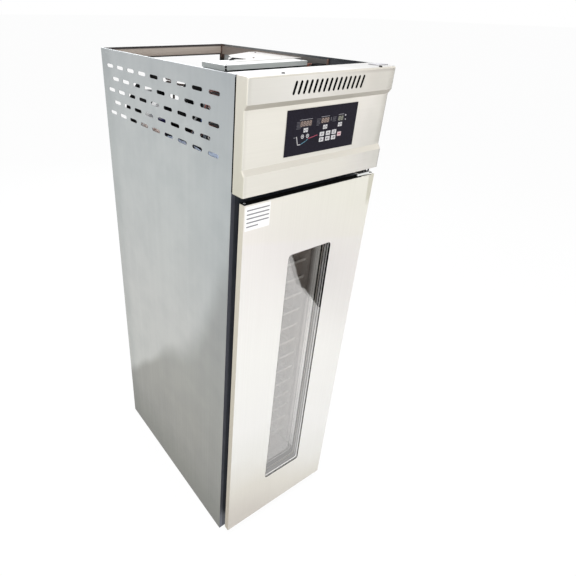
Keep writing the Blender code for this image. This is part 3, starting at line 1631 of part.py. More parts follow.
def pipe_cover(bright):
    """A loose plate over the pipes, screwed to the right side and resting on the box's lid."""
    right = HALF - SHEET - SEAT
    low = LID_TOP + SEAT
    top = low + STRONG_SHEET
    left = HALF - COVER_REACH
    front = BOX_FRONT + COVER_START
    rear = front + COVER_DEPTH
    outline = [(left, front), (right, front), (right, rear)]
    outline += [
        (left + (right - left) * across, front + COVER_DEPTH * along)
        for across, along in COVER_CORNER_SHARES[::-1]
    ]
    plate = piece("pipe_cover", prism(outline, "z", low, top), bright)
    flange_low = (right - STRONG_SHEET, front + COVER_FLANGE_START, low - COVER_FLANGE)
    flange = box(flange_low, (right, rear, top))
    join(plate, flange)


def small_fittings(black, brass, blue_plastic):
    """The relay on the right side sheet and the water valve that feeds the mist nozzle."""
    right = HALF - SHEET - SEAT
    relay_front = BOX_FRONT - RELAY_TO_BOX
    relay_base = CABINET_HEIGHT - RELAY_DROP
    low = (right - RELAY_WIDTH, relay_front, relay_base)
    high = (right, relay_front + RELAY_DEPTH, relay_base + RELAY_HEIGHT)
    relay = piece("humidity_relay", box(low, high), black)
    rounding = relay.modifiers.new("rounded edges", "BEVEL")
    rounding.width = RELAY_ROUNDING
    rounding.segments = 2

    x = HALF - VALVE_INSET
    y = BODY_DEPTH - VALVE_SETBACK
    base = DECK_LEVEL + SEAT
    body = [
        (0, base),
        (VALVE_RADIUS, base),
        (VALVE_RADIUS, base + VALVE_HEIGHT / 2),
        (VALVE_RADIUS * VALVE_NECK_SHARE, base + VALVE_HEIGHT / 2),
        (VALVE_RADIUS * VALVE_NECK_SHARE, base + VALVE_HEIGHT),
        (0, base + VALVE_HEIGHT),
    ]
    valve = piece("water_valve", turned(body, (x, y, 0), "z", 12), brass, smooth=True)
    spigot = [
        (0, -VALVE_REACH),
        (VALVE_RADIUS * VALVE_NECK_SHARE, -VALVE_REACH),
        (VALVE_RADIUS * VALVE_NECK_SHARE, VALVE_REACH),
        (0, VALVE_REACH),
    ]
    join(valve, turned(spigot, (x, y, base + VALVE_RADIUS), "y", 12))
    coil_low = base + VALVE_HEIGHT + SEAT
    coil = piece(
        "water_valve_coil",
        box(
            (x - VALVE_COIL_WIDTH / 2, y - VALVE_COIL_LENGTH / 2, coil_low),
            (x + VALVE_COIL_WIDTH / 2, y + VALVE_COIL_LENGTH / 2, coil_low + VALVE_COIL_HEIGHT),
        ),
        blue_plastic,
    )
    rounding = coil.modifiers.new("rounded edges", "BEVEL")
    rounding.width = RELAY_ROUNDING
    rounding.segments = 2


def copper_pipes(copper):
    """The hot gas pipe, the liquid line with its drier, and the suction pipe."""
    cx, cy = COMPRESSOR_X, COMPRESSOR_Y
    port = DECK_LEVEL + COMPRESSOR_FOOT + COMPRESSOR_HEIGHT * PORT_SHARE
    coil_end = CONDENSER_LEFT - COIL_END / 2 - SEAT
    coil_y = CONDENSER_FRONT + CONDENSER_DEPTH / 2
    levels = coil_levels(CONDENSER_BASE, CONDENSER_TOP)
    hot_y = cy - COMPRESSOR_RADIUS - SEAT

    gas = [
        (cx, hot_y, port),
        (cx, hot_y - HOT_PIPE_REACH, port),
        (cx, hot_y - HOT_PIPE_REACH, levels[-1]),
        (cx, coil_y, levels[-1]),
        (coil_end, coil_y, levels[-1]),
    ]
    piece("hot_gas_pipe", swept(bent_route(gas, PIPE_BEND), PIPE_RADIUS), copper, smooth=True)

    lx, ly = LIQUID_PASS
    evaporator_top = EVAPORATOR_TOP - FIN_DEPTH + SEAT
    drier_y = BODY_DEPTH - DRIER_SETBACK
    liquid = [
        (coil_end, coil_y, levels[0]),
        (coil_end - LIQUID_REACH, coil_y, levels[0]),
        (coil_end - LIQUID_REACH, drier_y, levels[0]),
        (lx, drier_y, levels[0]),
        (lx, ly, levels[0]),
        (lx, ly, evaporator_top),
    ]
    line = piece("liquid_line", swept(bent_route(liquid, PIPE_BEND), LIQUID_RADIUS), copper, smooth=True)
    taper = DRIER_RADIUS * 2
    profile = [
        (0, 0),
        (PIPE_RADIUS, 0),
        (DRIER_RADIUS, taper),
        (DRIER_RADIUS, DRIER_LENGTH - taper),
        (PIPE_RADIUS, DRIER_LENGTH),
        (0, DRIER_LENGTH),
    ]
    join(line, turned(profile, (lx - DRIER_INSET, drier_y, levels[0]), "x", 12))

    sx, sy = SUCTION_PASS
    suction_top = DECK_LEVEL + SUCTION_RISE
    pot_side = cx + COMPRESSOR_RADIUS + SEAT
    suction = [
        (sx, sy, evaporator_top),
        (sx, sy, suction_top),
        (pot_side + SUCTION_REACH, sy, suction_top),
        (pot_side + SUCTION_REACH, cy, suction_top),
        (pot_side + SUCTION_REACH, cy, port),
        (pot_side, cy, port),
    ]
    piece("suction_pipe", swept(bent_route(suction, PIPE_BEND), SUCTION_RADIUS), copper, smooth=True)


def main():
    clear_scene()
    steel = finish("brushed stainless steel", (0.72, 0.73, 0.73), 1.0, 0.35)
    warm_steel = finish("ground stainless steel of the front", (0.86, 0.84, 0.79), 1.0, 0.30)
    dark_steel = finish("dark zinc-coated steel", (0.20, 0.21, 0.23), 0.9, 0.45)
    zinc = finish("galvanised sheet", (0.58, 0.60, 0.60), 0.9, 0.45)
    bright = finish("bright zinc sheet", (0.88, 0.88, 0.87), 0.8, 0.35)
    aluminium = finish("aluminium fins and blades", (0.75, 0.76, 0.77), 1.0, 0.40)
    chrome = finish("polished steel", (0.80, 0.80, 0.80), 1.0, 0.15)
    copper = finish("copper pipe", (0.72, 0.38, 0.22), 1.0, 0.30)
    brass = finish("brass", (0.71, 0.55, 0.24), 1.0, 0.35)
    foam = finish("polyurethane foam", (0.85, 0.76, 0.50), 0.0, 0.90)
    rubber = finish("black rubber", (0.03, 0.03, 0.03), 0.0, 0.70)
    black = finish("black enamel", (0.03, 0.03, 0.035), 0.0, 0.35)
    film = finish("dark keypad film", (0.035, 0.033, 0.045), 0.0, 0.30)
    nylon = finish("dark nylon", (0.10, 0.10, 0.10), 0.0, 0.50)
    white = finish("white plastic", (0.85, 0.85, 0.83), 0.0, 0.40)
    grey = finish("grey plastic", (0.35, 0.36, 0.37), 0.0, 0.50)
    blue = finish("blue plastic", (0.08, 0.12, 0.35), 0.0, 0.40)
    board = finish("circuit board", (0.05, 0.25, 0.12), 0.0, 0.50)
    glass = finish("window glass", (0.75, 0.80, 0.80), 0.0, 0.05)

    outer_case(steel, dark_steel, zinc)
    machine_deck(bright)
    front_frame(dark_steel)
    insulation(foam)
    chamber_liner(steel)
    drain_outlet(white)
    tray_rack("tray_rack_left", -1, steel)
    tray_rack("tray_rack_right", 1, steel)
    air_duct(steel, black, aluminium, chrome, white)
    door(warm_steel, foam, rubber, glass, black, nylon)
    hinges(warm_steel, chrome)
    fascia(warm_steel, dark_steel)
    control_panel(film, board)
    condenser_unit(aluminium, black)
    compressor(black, grey)
    electrical_box(zinc, bright, nylon)
    pipe_cover(bright)
    small_fittings(black, brass, blue)
    copper_pipes(copper)


main()
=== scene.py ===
"""Finishes and fine pieces for the one-door proofing cabinet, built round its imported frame."""

import json
import math
from functools import partial

import bmesh
import bpy
from mathutils import Matrix, Vector


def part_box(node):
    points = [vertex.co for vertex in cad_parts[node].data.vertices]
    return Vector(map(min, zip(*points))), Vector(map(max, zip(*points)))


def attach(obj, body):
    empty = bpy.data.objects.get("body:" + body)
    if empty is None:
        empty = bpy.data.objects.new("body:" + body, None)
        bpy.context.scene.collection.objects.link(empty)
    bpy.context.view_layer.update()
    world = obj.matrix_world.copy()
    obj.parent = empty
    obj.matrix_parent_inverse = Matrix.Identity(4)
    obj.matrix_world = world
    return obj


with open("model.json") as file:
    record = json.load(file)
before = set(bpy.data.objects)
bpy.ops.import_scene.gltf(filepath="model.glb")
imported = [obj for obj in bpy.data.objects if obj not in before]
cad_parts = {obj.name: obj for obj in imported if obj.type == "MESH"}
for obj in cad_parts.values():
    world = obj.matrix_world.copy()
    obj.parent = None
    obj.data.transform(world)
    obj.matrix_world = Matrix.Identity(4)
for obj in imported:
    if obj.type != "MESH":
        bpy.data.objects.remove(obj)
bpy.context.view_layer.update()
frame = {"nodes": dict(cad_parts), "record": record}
MM = 0.001

# Camera, at the angle from which the cabinet is seen: front left, a little above its top
EYE = Vector((-1.096, -1.490, 2.180))
AHEAD = Vector((0.4997, 0.7090, -0.4977))
ABOVE = Vector((0.2693, 0.4189, 0.8672))
FOCAL_LENGTH = 29.14
SENSOR = 36
FRAME_SHIFT = (0.1236, -0.0292)
NEAREST, FARTHEST = 0.05, 100


def link(name, data):
    made = bpy.data.objects.new(name, data)
    bpy.context.scene.collection.objects.link(made)
    return made


def make_camera():
    data = bpy.data.cameras.new("camera")
    data.lens = FOCAL_LENGTH
    data.sensor_width = SENSOR
    data.shift_x, data.shift_y = FRAME_SHIFT
    data.clip_start, data.clip_end = NEAREST, FARTHEST
    camera = link("camera", data)
    back = -AHEAD.normalized()
    right = ABOVE.cross(back).normalized()
    turn = Matrix((right, back.cross(right), back)).transposed().to_4x4()
    camera.matrix_world = Matrix.Translation(EYE) @ turn
    bpy.context.scene.camera = camera


# Colours and nodes


def linear(code):
    """The linear colour of an sRGB hex value, with an alpha of 1."""
    shares = [int(code[k : k + 2], 16) / 255 for k in (1, 3, 5)]
    return (*[s / 12.92 if s <= 0.04045 else ((s + 0.055) / 1.055) ** 2.4 for s in shares], 1.0)


def add(tree, kind, *values, inputs=(), stops=(), out=None, **settings):
    """Adds a node and returns its first output in use, or the one that out names.

    values fill the inputs in use in their order, and inputs fills others by name. A value is a socket
    to link, a number, a vector, a hex colour, or None to leave an input alone. stops gives a ramp's
    colours by place. A kind without the word Node is a shader node.
    """
    made = tree.nodes.new(kind if "Node" in kind else f"ShaderNode{kind}")
    for key, value in settings.items():
        setattr(made, key, value)
    if stops:
        elements = made.color_ramp.elements
        while len(elements) < len(stops):
            elements.new(1.0)
        for element, (place, code) in zip(elements, sorted(stops.items())):
            element.position, element.color = place, linear(code)
    used = [socket for socket in made.inputs if socket.enabled]
    for socket, value in [*zip(used, values), *((made.inputs[key], inputs[key]) for key in inputs)]:
        if isinstance(value, bpy.types.NodeSocket):
            tree.links.new(value, socket)
        elif value is not None:
            socket.default_value = linear(value) if str(value).startswith("#") else value
    return made.outputs[out] if out else next((socket for socket in made.outputs if socket.enabled), None)


def emptied(owner):
    """Clears the nodes of a material or world and returns the function that adds new ones."""
    owner.use_nodes = True
    owner.node_tree.nodes.clear()
    return partial(add, owner.node_tree)


def painted(name, shade):
    """A material with the shader that shade builds."""
    material = bpy.data.materials.new(name)
    node = emptied(material)
    node("OutputMaterial", shade(node))
    return material


def surface(name, build, *look, metallic=0.0, specular=0.5, painted_glow=0.0):
    """A Principled material. build gives its colour, roughness, normal and emission, in this order."""

    def shade(node):
        driven = dict(zip(("Base Color", "Roughness", "Normal", "Emission Color"), build(node, *look)))
        uniform = {"Metallic": metallic, "Specular IOR Level": specular, "Emission Strength": painted_glow}
        return node("BsdfPrincipled", inputs={**uniform, **driven})

    return painted(name, shade)


def grain(node, width, length=0.0, along="Z", detail=3.0):
    """Noise about as wide as width. A length draws it out along one axis, as brushing does."""
    place = node("TexCoord", out="Object")
    if not length:
        return node("TexNoise", place, 1 / width, detail, 0.55)
    scale = [1 / (length if axis == along else width) for axis in "XYZ"]
    return node("TexNoise", node("Mapping", place, None, None, scale), 1.0, detail, 0.6)


def position(node, axis):
    """A point's place along an axis of the object."""
    return node("SeparateXYZ", node("TexCoord", out="Object"), out=axis)


def reach(node, axis, start, end, low=0.0, high=1.0, course="LINEAR"):
    """How far a point lies from start to end along an axis, laid over low to high."""
    return node("MapRange", position(node, axis), start, end, low, high, interpolation_type=course)


def faces(node, axis, start, end):
    """How far the surface faces along an axis of the object: 0 at start, 1 at end."""
    normal = node("NewGeometry", out="Normal")
    return node("MapRange", node("SeparateXYZ", normal, out=axis), start, end)


TIMES = "MULTIPLY"
# Most of a noise lies between these values
MOST = (0.3, 0.7)


def layered(node, tone, *layers):
    """Lays colours over a tone in turn. A layer is its share, its colour and, where not MIX, its blend."""
    for share, colour, *blend in layers:
        tone = node("Mix", share, tone, colour, data_type="RGBA", blend_type=(*blend, "MIX")[0])
    return tone


def worn(node, tone, share, pattern, dark, spread=MOST, light="#ffffff"):
    """Darkens a tone by share where a pattern is low."""
    shade = node("ValToRGB", pattern, stops={spread[0]: dark, spread[1]: light})
    return layered(node, tone, (share, shade, TIMES))


# Materials, each named for what the real surface is. On the large sheets the roughness stays above 0.28,
# because the render's noise filter leaves specks where it crosses 0.275.


def ground_sheet(node):
    """Ground steel of the sides: fine upright brushing, with a painted reflection that is darker and warmer
    below a slanted line.
    """
    at = partial(reach, node)
    # The darker painted reflection reaches 1.4 m up at the front edge and 0.35 m at the back, where it ends
    # sharply.
    slant = node("Math", position(node, "Y"), 0.92, -0.78, operation="MULTIPLY_ADD")
    height = node("Math", position(node, "Z"), slant)
    height = node("Math", height, at("Y", -0.43, -0.24, 0.27, 0.0), operation="SUBTRACT")
    warp = node("MapRange", grain(node, 0.30, detail=1.0), *MOST, -0.03, 0.03)
    height = node("Math", height, warp)
    share = node("Math", height, at("Y", -0.43, 0.10, 0.17, 0.04), operation="DIVIDE")
    bright = node("MapRange", share, -1.0, 1.0, interpolation_type="SMOOTHSTEP")
    level = at("Z", 0.0, 2.0)
    # Painted reflection: the tones below and above the slanted line
    low_reflection_stops = {
        0.0: "#73736d", 0.05: "#7a7b74", 0.15: "#8d8d88", 0.25: "#969691",
        0.4: "#9e9f9b", 0.6: "#a0a2a1", 0.75: "#9ea2a3",
    }
    high_reflection_stops = {0.2: "#bdbfbc", 0.5: "#bfc1c0", 0.8: "#babfc0", 0.92: "#b7bcbe", 1.0: "#b0b5b8"}
    # The cut edges inside the vents lie in the shade
    outward = node("Math", faces(node, "X", 0.2, 0.6), faces(node, "X", -0.2, -0.6))
    cut = node("Math", at("Z", 1.995, 2.005, 1.0, 0.0), outward, operation="SUBTRACT")
    cut = node("Math", cut, at("Z", 1.70, 1.71), operation=TIMES)
    cut = node("Math", cut, at("Y", -0.415, -0.405), operation=TIMES, use_clamp=True)
    tone = layered(
        node,
        node("ValToRGB", level, stops=low_reflection_stops),
        (bright, node("ValToRGB", level, stops=high_reflection_stops)),
        # Painted reflection darkens the front part, the back edge is slightly darker, and painted shade
        # darkens the front-facing return beside the door
        (at("Y", -0.43, -0.12, 0.6, 0.0, "SMOOTHSTEP"), "#edeff2", TIMES),
        (at("Y", 0.36, 0.44, course="SMOOTHSTEP"), "#f1f2f2", TIMES),
        (faces(node, "Y", -0.5, -0.9), "#5d606c"),
        (cut, "#2c2b2a"),
    )
    # Real grinding lines are 0.2 mm wide; 5 mm and 30 mm are the finest that show here.
    brush = grain(node, 0.005, 0.9)
    tone = worn(node, tone, 0.07, brush, "#9a9da0")
    tone = worn(node, tone, 0.07, grain(node, 0.030, 1.8), "#8e9294")
    # Soft handling marks, each a hand or so wide
    tone = worn(node, tone, 0.55, grain(node, 0.13, detail=5.0), "#e9e8e4", (0.38, 0.58), "#f7f5f0")
    return tone, node("MapRange", brush, *MOST, 0.30, 0.44)


def right_sheet(node):
    """The same sheet on the right, with painted shade on its inner face, which darkens from the back to the
    front.
    """
    tone, rough = ground_sheet(node)
    stops = {0.0: "#1d1e22", 0.12: "#33353b", 0.3: "#4b4e52", 0.55: "#75787a", 1.0: "#8b8d8d"}
    inner = node("ValToRGB", reach(node, "Y", -0.43, 0.48), stops=stops)
    return layered(node, tone, (faces(node, "X", -0.5, -0.9), inner)), rough


def door_sheet(node):
    """Fine-ground stainless steel of the door: warm white, greyer towards its lower left corner."""
    across, up = position(node, "X"), position(node, "Z")
    aside = node("Math", across, 0.45, 0.02, operation="MULTIPLY_ADD")
    warp = node("MapRange", grain(node, 0.5), *MOST, -0.05, 0.05)
    share = node("MapRange", node("Math", node("Math", up, aside), warp), 0.0, 2.0)
    stops = {
        0.00: "#c4beb6", 0.10: "#d5d1c8", 0.20: "#e3e2de", 0.30: "#eae9e7",
        0.50: "#edece9", 0.72: "#e8e4e2", 0.86: "#e1dfd8",
    }
    # A painted reflection, a beige band down the hinge edge; and the slightly greener part above the window
    beside = node("Math", up, -0.07, 0.381, operation="MULTIPLY_ADD")
    inside = node("Math", across, beside, operation="SUBTRACT")
    band = node("MapRange", inside, -0.003, 0.003)
    band = node("Math", band, reach(node, "Z", 1.545, 1.575), operation=TIMES)
    fold = node("Math", across, 0.2, up, operation="MULTIPLY_ADD")
    above = node("MapRange", fold, 1.466, 1.490, interpolation_type="SMOOTHSTEP")
    tone = layered(
        node,
        node("ValToRGB", share, stops=stops),
        (band, "#c9c6ba"),
        (above, "#fffffc", TIMES),
        # Painted shade on the left-facing edge, beige and greyer lower down
        (faces(node, "X", -0.5, -0.9), node("ValToRGB", share, stops={0.0: "#a59c8c", 0.8: "#c9c4b5"})),
    )
    # Real grinding lines are 0.1 mm wide; 4 mm is the finest that shows here.
    tone = worn(node, tone, 0.05, grain(node, 0.004, 0.7), "#a8a296")
    return tone, node("MapRange", grain(node, 0.09), *MOST, 0.285, 0.36)


def fascia_sheet(node):
    """Brushed steel of the fascia, its reflections and shade painted on: warm on the left, greyer on the
    right and where it faces down.
    """
    at, facing = partial(reach, node), partial(faces, node)
    warp = node("MapRange", grain(node, 0.16), *MOST, -0.05, 0.05)
    aside = node("Math", position(node, "X"), warp)
    share = node("MapRange", aside, -0.3, 0.3)
    # Painted reflection: warm on the left, greyer on the right; the upper band is painted shade
    low = node("ValToRGB", share, stops={0.0: "#dddad2", 0.55: "#d9d6ce", 0.88: "#d0cdc8", 1.0: "#c6c4be"})
    high = node("ValToRGB", share, stops={0.0: "#cccac4", 0.3: "#cfcdc9", 0.85: "#bbb8b2", 1.0: "#b6b4ae"})
    ending = node("Math", at("X", 0.268, 0.288), at("Z", 1.772, 1.780), operation=TIMES)
    rim = node("Math", at("Z", 2.002, 2.009), at("X", 0.0, 0.2), operation=TIMES)
    end_shade_tone = node("ValToRGB", at("Z", 1.68, 2.02), stops={0.0: "#bebbac", 1.0: "#cbc7bc"})
    top_highlight_stops = {0.0: "#f4f4f3", 0.55: "#eeeeec", 0.75: "#d3d2d0", 1.0: "#cccbc9"}
    tone = layered(
        node,
        low,
        (at("Z", 1.935, 1.950), high),
        # Bent edges and the first strip on the left catch less light
        (at("X", -0.2960, -0.2840, 0.35, 0.0), "#e3e2e1", TIMES),
        (ending, "#ecebea", TIMES),
        (rim, "#e9e7e7", TIMES),
        (at("X", 0.2925, 0.2955), "#a09f9a"),
        (at("Z", 2.0120, 2.0140), "#9f9c94"),
        # So do the slope under the film, the ends and the folds, and the flange on top catches more
        (facing("Z", 0.10, 0.35), "#c7c3ba"),
        (facing("X", -0.5, -0.9), end_shade_tone),
        (facing("Z", 0.8, 0.95), node("ValToRGB", share, stops=top_highlight_stops)),
        (facing("Z", -0.10, -0.45), "#b0aba1"),
        (facing("Z", -0.85, -0.97), "#0e0e10"),
    )
    # Real grinding lines are 0.1 mm wide; 3 mm is the finest that shows here.
    tone = worn(node, tone, 0.05, grain(node, 0.003, 0.5, "X"), "#a8a296")
    return tone, node("MapRange", grain(node, 0.07), *MOST, 0.285, 0.38)


def sheet_metal(node, light, dark, width, length, along, rough):
    """A brushed or rolled metal between two tones, its lines too fine for relief."""
    patches = grain(node, 0.12)
    lines = grain(node, width, length, along)
    tone = node("ValToRGB", lines, stops={0.3: dark, 0.7: light})
    tone = worn(node, tone, 0.35, patches, "#cfcfcf", (0.35, 0.65))
    return tone, node("MapRange", patches, *MOST, rough - 0.05, rough + 0.07)


def faced_sheet(node, top, front, under):
    """Folded sheet with light and shade painted on by facing; its upright faces stand in the shade of the
    machine space.
    """
    lines = grain(node, 0.008, 0.3, "X")
    upward, downward = faces(node, "Z", 0.4, 0.8), faces(node, "Z", -0.4, -0.8)
    tone = layered(node, front, (upward, top), (downward, under))
    return worn(node, tone, 0.4, lines, "#e4e4e4"), node("MapRange", lines, *MOST, 0.30, 0.42)


def graded_steel(node, axis, start, end, stops, width, length, along, share, dark, rough):
    """Steel whose tone goes along an axis, under fine lines along another."""
    lines = grain(node, width, length, along)
    tone = node("ValToRGB", reach(node, axis, start, end), stops=stops)
    return worn(node, tone, share, lines, dark), node("MapRange", lines, *MOST, *rough)


# What graded_steel gets: the rail's folded edges are dark lines, and painted shade darkens the brown rail
# in front, where the lid shades it. Painted shade darkens the tray ledges' cut edges low down in the
# chamber.
GROUND_RAIL = (
    "Z", 1.974, 2.018,
    {0.0: "#2b2827", 0.09: "#3a3534", 0.15: "#aca198", 0.75: "#bdb3aa", 0.84: "#3d3838", 1.0: "#2e2b2c"},
    0.005, 0.4, "X", 0.5, "#dcd8d4", (0.34, 0.46),
)
PRIMED_RAIL = (
    "Y", -0.1, 0.2, {0.0: "#565452", 1.0: "#756b64"}, 0.006, 0.3, "Y", 0.6, "#dcdcdc", (0.46, 0.56),
)
LEDGE_EDGE = (
    "Z", 0.0, 2.0, {0.10: "#a39c99", 0.25: "#bebab7", 0.45: "#cfccc9", 0.65: "#dedbd8"},
    0.004, 0.1, "X", 0.6, "#e8e8e8", (0.36, 0.46),
)


def rusted_post(node):
    """Brown primed angle steel with rust stains, and near black painted shadow where it goes down behind
    the deck.
    """
    stains = grain(node, 0.012)
    tone = node("ValToRGB", stains, stops={0.35: "#2a1f1c", 0.6: "#6b544b"})
    # Painted shadow where the post goes down behind the deck
    tone = layered(node, tone, (reach(node, "Z", 1.955, 1.975, 1.0, 0.0), "#100c0b"))
    return tone, node("MapRange", stains, *MOST, 0.5, 0.6)


def chamber_sheet(node):
    """The chamber's lining: ground stainless steel with a fine upright grain."""
    patches = grain(node, 0.25)
    tone = layered(
        node,
        node("ValToRGB", grain(node, 0.006, 0.5), stops={0.3: "#9b9592", 0.7: "#aba6a3"}),
        # Painted light brightens it towards the ceiling, and painted shade darkens the gap beside the
        # gasket
        (reach(node, "Z", 1.00, 1.30), "#dcd5d2"),
        (reach(node, "Y", -0.3252, -0.3240, 1.0, 0.0), "#2b2827"),
    )
    tone = worn(node, tone, 0.5, patches, "#dddbd8", (0.35, 0.65))
    return tone, node("MapRange", patches, *MOST, 0.285, 0.38)


def joint_strip(node):
    """White strips over the lining's joints, their light painted on with a glow: brightest in front and
    less so low in the chamber.
    """
    level = reach(node, "Z", 0.0, 2.0)
    depth = reach(node, "Y", -0.3230, -0.2800, 1.0, 0.0)
    stops = {
        0.10: "#cfcecc", 0.175: "#d7d6d5", 0.25: "#c0bfbe",
        0.35: "#cdccca", 0.45: "#f2f2f1", 0.60: "#ffffff",
    }
    tone = layered(node, "#968d8b", (depth, node("ValToRGB", level, stops=stops)))
    tone = worn(node, tone, 1.0, grain(node, 0.05), "#f2f2f2")
    # A painted glow stands in for the daylight that the panes mirror onto them, most of it at mid height
    painted_glow = {
        0.05: "#8a8a8a", 0.117: "#bcbcbc", 0.23: "#cdcdcd", 0.32: "#e0e0e0", 0.406: "#e4e4e4",
        0.493: "#c4c4c4", 0.522: "#c8c8c7", 0.545: "#5f5f5d", 0.6: "#767672", 0.64: "#81817d",
    }
    return tone, 0.5, None, layered(node, "#000000", (depth, node("ValToRGB", level, stops=painted_glow)))


def seal_edge(node):
    """Spacer edges between the panes, white for their painted sheen, with painted shade near the window's
    top, at its foot and on the inner pane.
    """
    level = reach(node, "Z", 0.0, 2.0)
    outer = {0.1: "#ffffff", 0.5: "#ffffff", 0.62: "#c8c8c8", 0.75: "#bcbcbc"}
    inner = {0.137: "#3a3a3a", 0.15: "#9a9a9a", 0.5: "#b4b4b4", 0.62: "#a3a3a3", 0.75: "#a8a8a8"}
    outer, inner = (node("ValToRGB", level, stops=stops) for stops in (outer, inner))
    tone = layered(node, outer, (reach(node, "Y", -0.469, -0.468), inner))
    return worn(node, tone, 1.0, grain(node, 0.03), "#ececec"), 0.5


def zinc_spangle(node):
    """Hot-dip galvanised sheet: crystals of zinc about 9 mm across, each of its own grey."""
    grey = node("SeparateColor", node("TexVoronoi", node("TexCoord", out="Object"), 1 / 0.009, out="Color"))
    tone = node("ValToRGB", grey, stops={0.0: "#9ea3a6", 1.0: "#bcc0c1"})
    return tone, node("MapRange", grey, 0.0, 1.0, 0.34, 0.5)


def speckled(node, light, dark, size, rough, depth, spread=(0.35, 0.65)):
    """A moulded, cast or sprayed surface: a fine grain between two tones, depth metres deep."""
    fine, broad = grain(node, size, detail=4.0), grain(node, size * 14)
    tone = node("ValToRGB", fine, stops={spread[0]: dark, spread[1]: light})
    tone = worn(node, tone, 0.5, broad, "#d8d8d8", (0.35, 0.65))
    rough_patches = node("MapRange", broad, *MOST, rough - 0.05, rough + 0.08)
    return tone, rough_patches, node("Bump", 0.6, depth, inputs={"Height": fine})


def drawn_copper(node):
    """Drawn copper tube: bright orange-brown with darker patches of tarnish."""
    tarnish = grain(node, 0.03)
    tone = node("ValToRGB", tarnish, stops={0.35: "#8a5236", 0.5: "#b87a52", 0.7: "#cf9468"})
    return tone, node("MapRange", tarnish, *MOST, 0.40, 0.285)


def cut_foam(node):
    """Poured polyurethane foam: pale yellow, its cells drawn at 2.5 mm, twice their size, to show."""
    cells = node("TexVoronoi", node("TexCoord", out="Object"), 1 / 0.0025, out="Distance")
    tone = node("ValToRGB", grain(node, 0.05), stops={0.35: "#c8b06a", 0.65: "#e2cf90"})
    return tone, 0.9, node("Bump", 0.8, 0.0006, inputs={"Height": cells})


def keypad_film(node):
    """Screen-printed polyester film: a near-black violet, faintly dimpled like all such films."""
    dimples = grain(node, 0.004, detail=2.0)
    tone = node("ValToRGB", dimples, stops={0.35: "#1c1a22", 0.65: "#22202a"})
    rough = node("MapRange", dimples, *MOST, 0.46, 0.54)
    return tone, rough, node("Bump", 0.5, 0.00002, inputs={"Height": dimples})


def printed(node, code, rough=0.5):
    """Ink or film in one colour, very slightly uneven in its cover."""
    cover = grain(node, 0.003, detail=2.0)
    tone = worn(node, code, 0.5, cover, "#dedede")
    return tone, node("MapRange", cover, *MOST, rough - 0.04, rough + 0.06)


def coated_glass(node):
    """Coated float glass: clear, with a mirror share that grows with the angle of view."""
    tint = node("ValToRGB", grain(node, 0.4), stops={0.3: "#fefdfc", 0.7: "#ffffff"})
    # The heat-reflecting coat mirrors more than bare glass does, so the IOR is above its 1.52.
    share = node("Fresnel", 3.3)
    # A slab's far face would mirror all of what leaves it at a slant, and real glass doesn't.
    # The lamps' light meets the panes nearly head on, where the coat passes most of it.
    for unseen in (node("NewGeometry", out="Backfacing"), node("LightPath", out="Is Shadow Ray")):
        kept = node("Math", 1.0, unseen, operation="SUBTRACT")
        share = node("Math", share, kept, operation=TIMES)
    return node("MixShader", share, node("BsdfTransparent", tint), node("BsdfGlossy", "#faf9f8", 0.02))


FINISHES = {
    "side_steel": surface("Ground steel sheet", ground_sheet, metallic=0.55),
    "front_steel": surface("Fine ground stainless steel", door_sheet, metallic=0.35),
    "galvanised": surface("Galvanised steel sheet", zinc_spangle, metallic=0.6),
    "copper": surface("Drawn copper tube", drawn_copper, metallic=0.9),
    "foam": surface("Polyurethane foam", cut_foam),
    "keypad_film": surface("Polyester keypad film", keypad_film, specular=0.05),
    "clear_glass": painted("Coated float glass", coated_glass),
    "right_sheet": surface("Ground steel sheet, right side", right_sheet, metallic=0.5),
    "fascia_sheet": surface("Fine ground stainless steel, bent", fascia_sheet, metallic=0.35),
    "liner_sheet": surface("Bright stainless lining", chamber_sheet, metallic=0.3),
    "rear_rail": surface("Ground steel rail", graded_steel, *GROUND_RAIL, metallic=0.3),
    "brown_rail": surface("Brown primed rail", graded_steel, *PRIMED_RAIL),
    "rusted_post": surface("Rusted steel angle", rusted_post, metallic=0.2),
    "shelf_edge": surface("Bright cut rack steel", graded_steel, *LEDGE_EDGE),
    "joint_strip": surface("White joint strip with painted light", joint_strip, painted_glow=1.0),
    "seal_edge": surface("Spacer edge with painted sheen and shade", seal_edge),
}
# Brushed and rolled metals: two tones, the width, length and axis of their lines, roughness, metallic
for key, name, *look, metallic in (
    ("dark_steel", "Blued steel sheet", "#474b54", "#33363e", 0.006, 0.5, "Z", 0.42, 0.5),
    ("bright_zinc", "Bright zinc plated steel", "#f2f3f2", "#dfe1e1", 0.008, 0.3, "X", 0.34, 0.4),
    ("aluminium", "Mill finish aluminium", "#c9cccd", "#b2b5b7", 0.004, 0.05, "X", 0.36, 0.8),
    ("polished", "Nickel plated steel", "#d5d6d4", "#bcbdbb", 0.004, 0.03, "Z", 0.22, 0.9),
    ("brass", "Machined brass", "#c9a55c", "#ab8743", 0.002, 0.02, "X", 0.3, 0.9),
    ("aged_copper", "Aged copper tube", "#4c372d", "#2f211b", 0.004, 0.02, "Z", 0.45, 0.6),
    ("zinc_screw", "Zinc plated screw", "#c4c6c8", "#9fa1a4", 0.0015, 0.01, "Z", 0.3, 0.8),
    ("dark_screw", "Blackened screw", "#6d6f73", "#4e5054", 0.0015, 0.01, "Z", 0.35, 0.6),
):
    FINISHES[key] = surface(name, sheet_metal, *look, metallic=metallic)
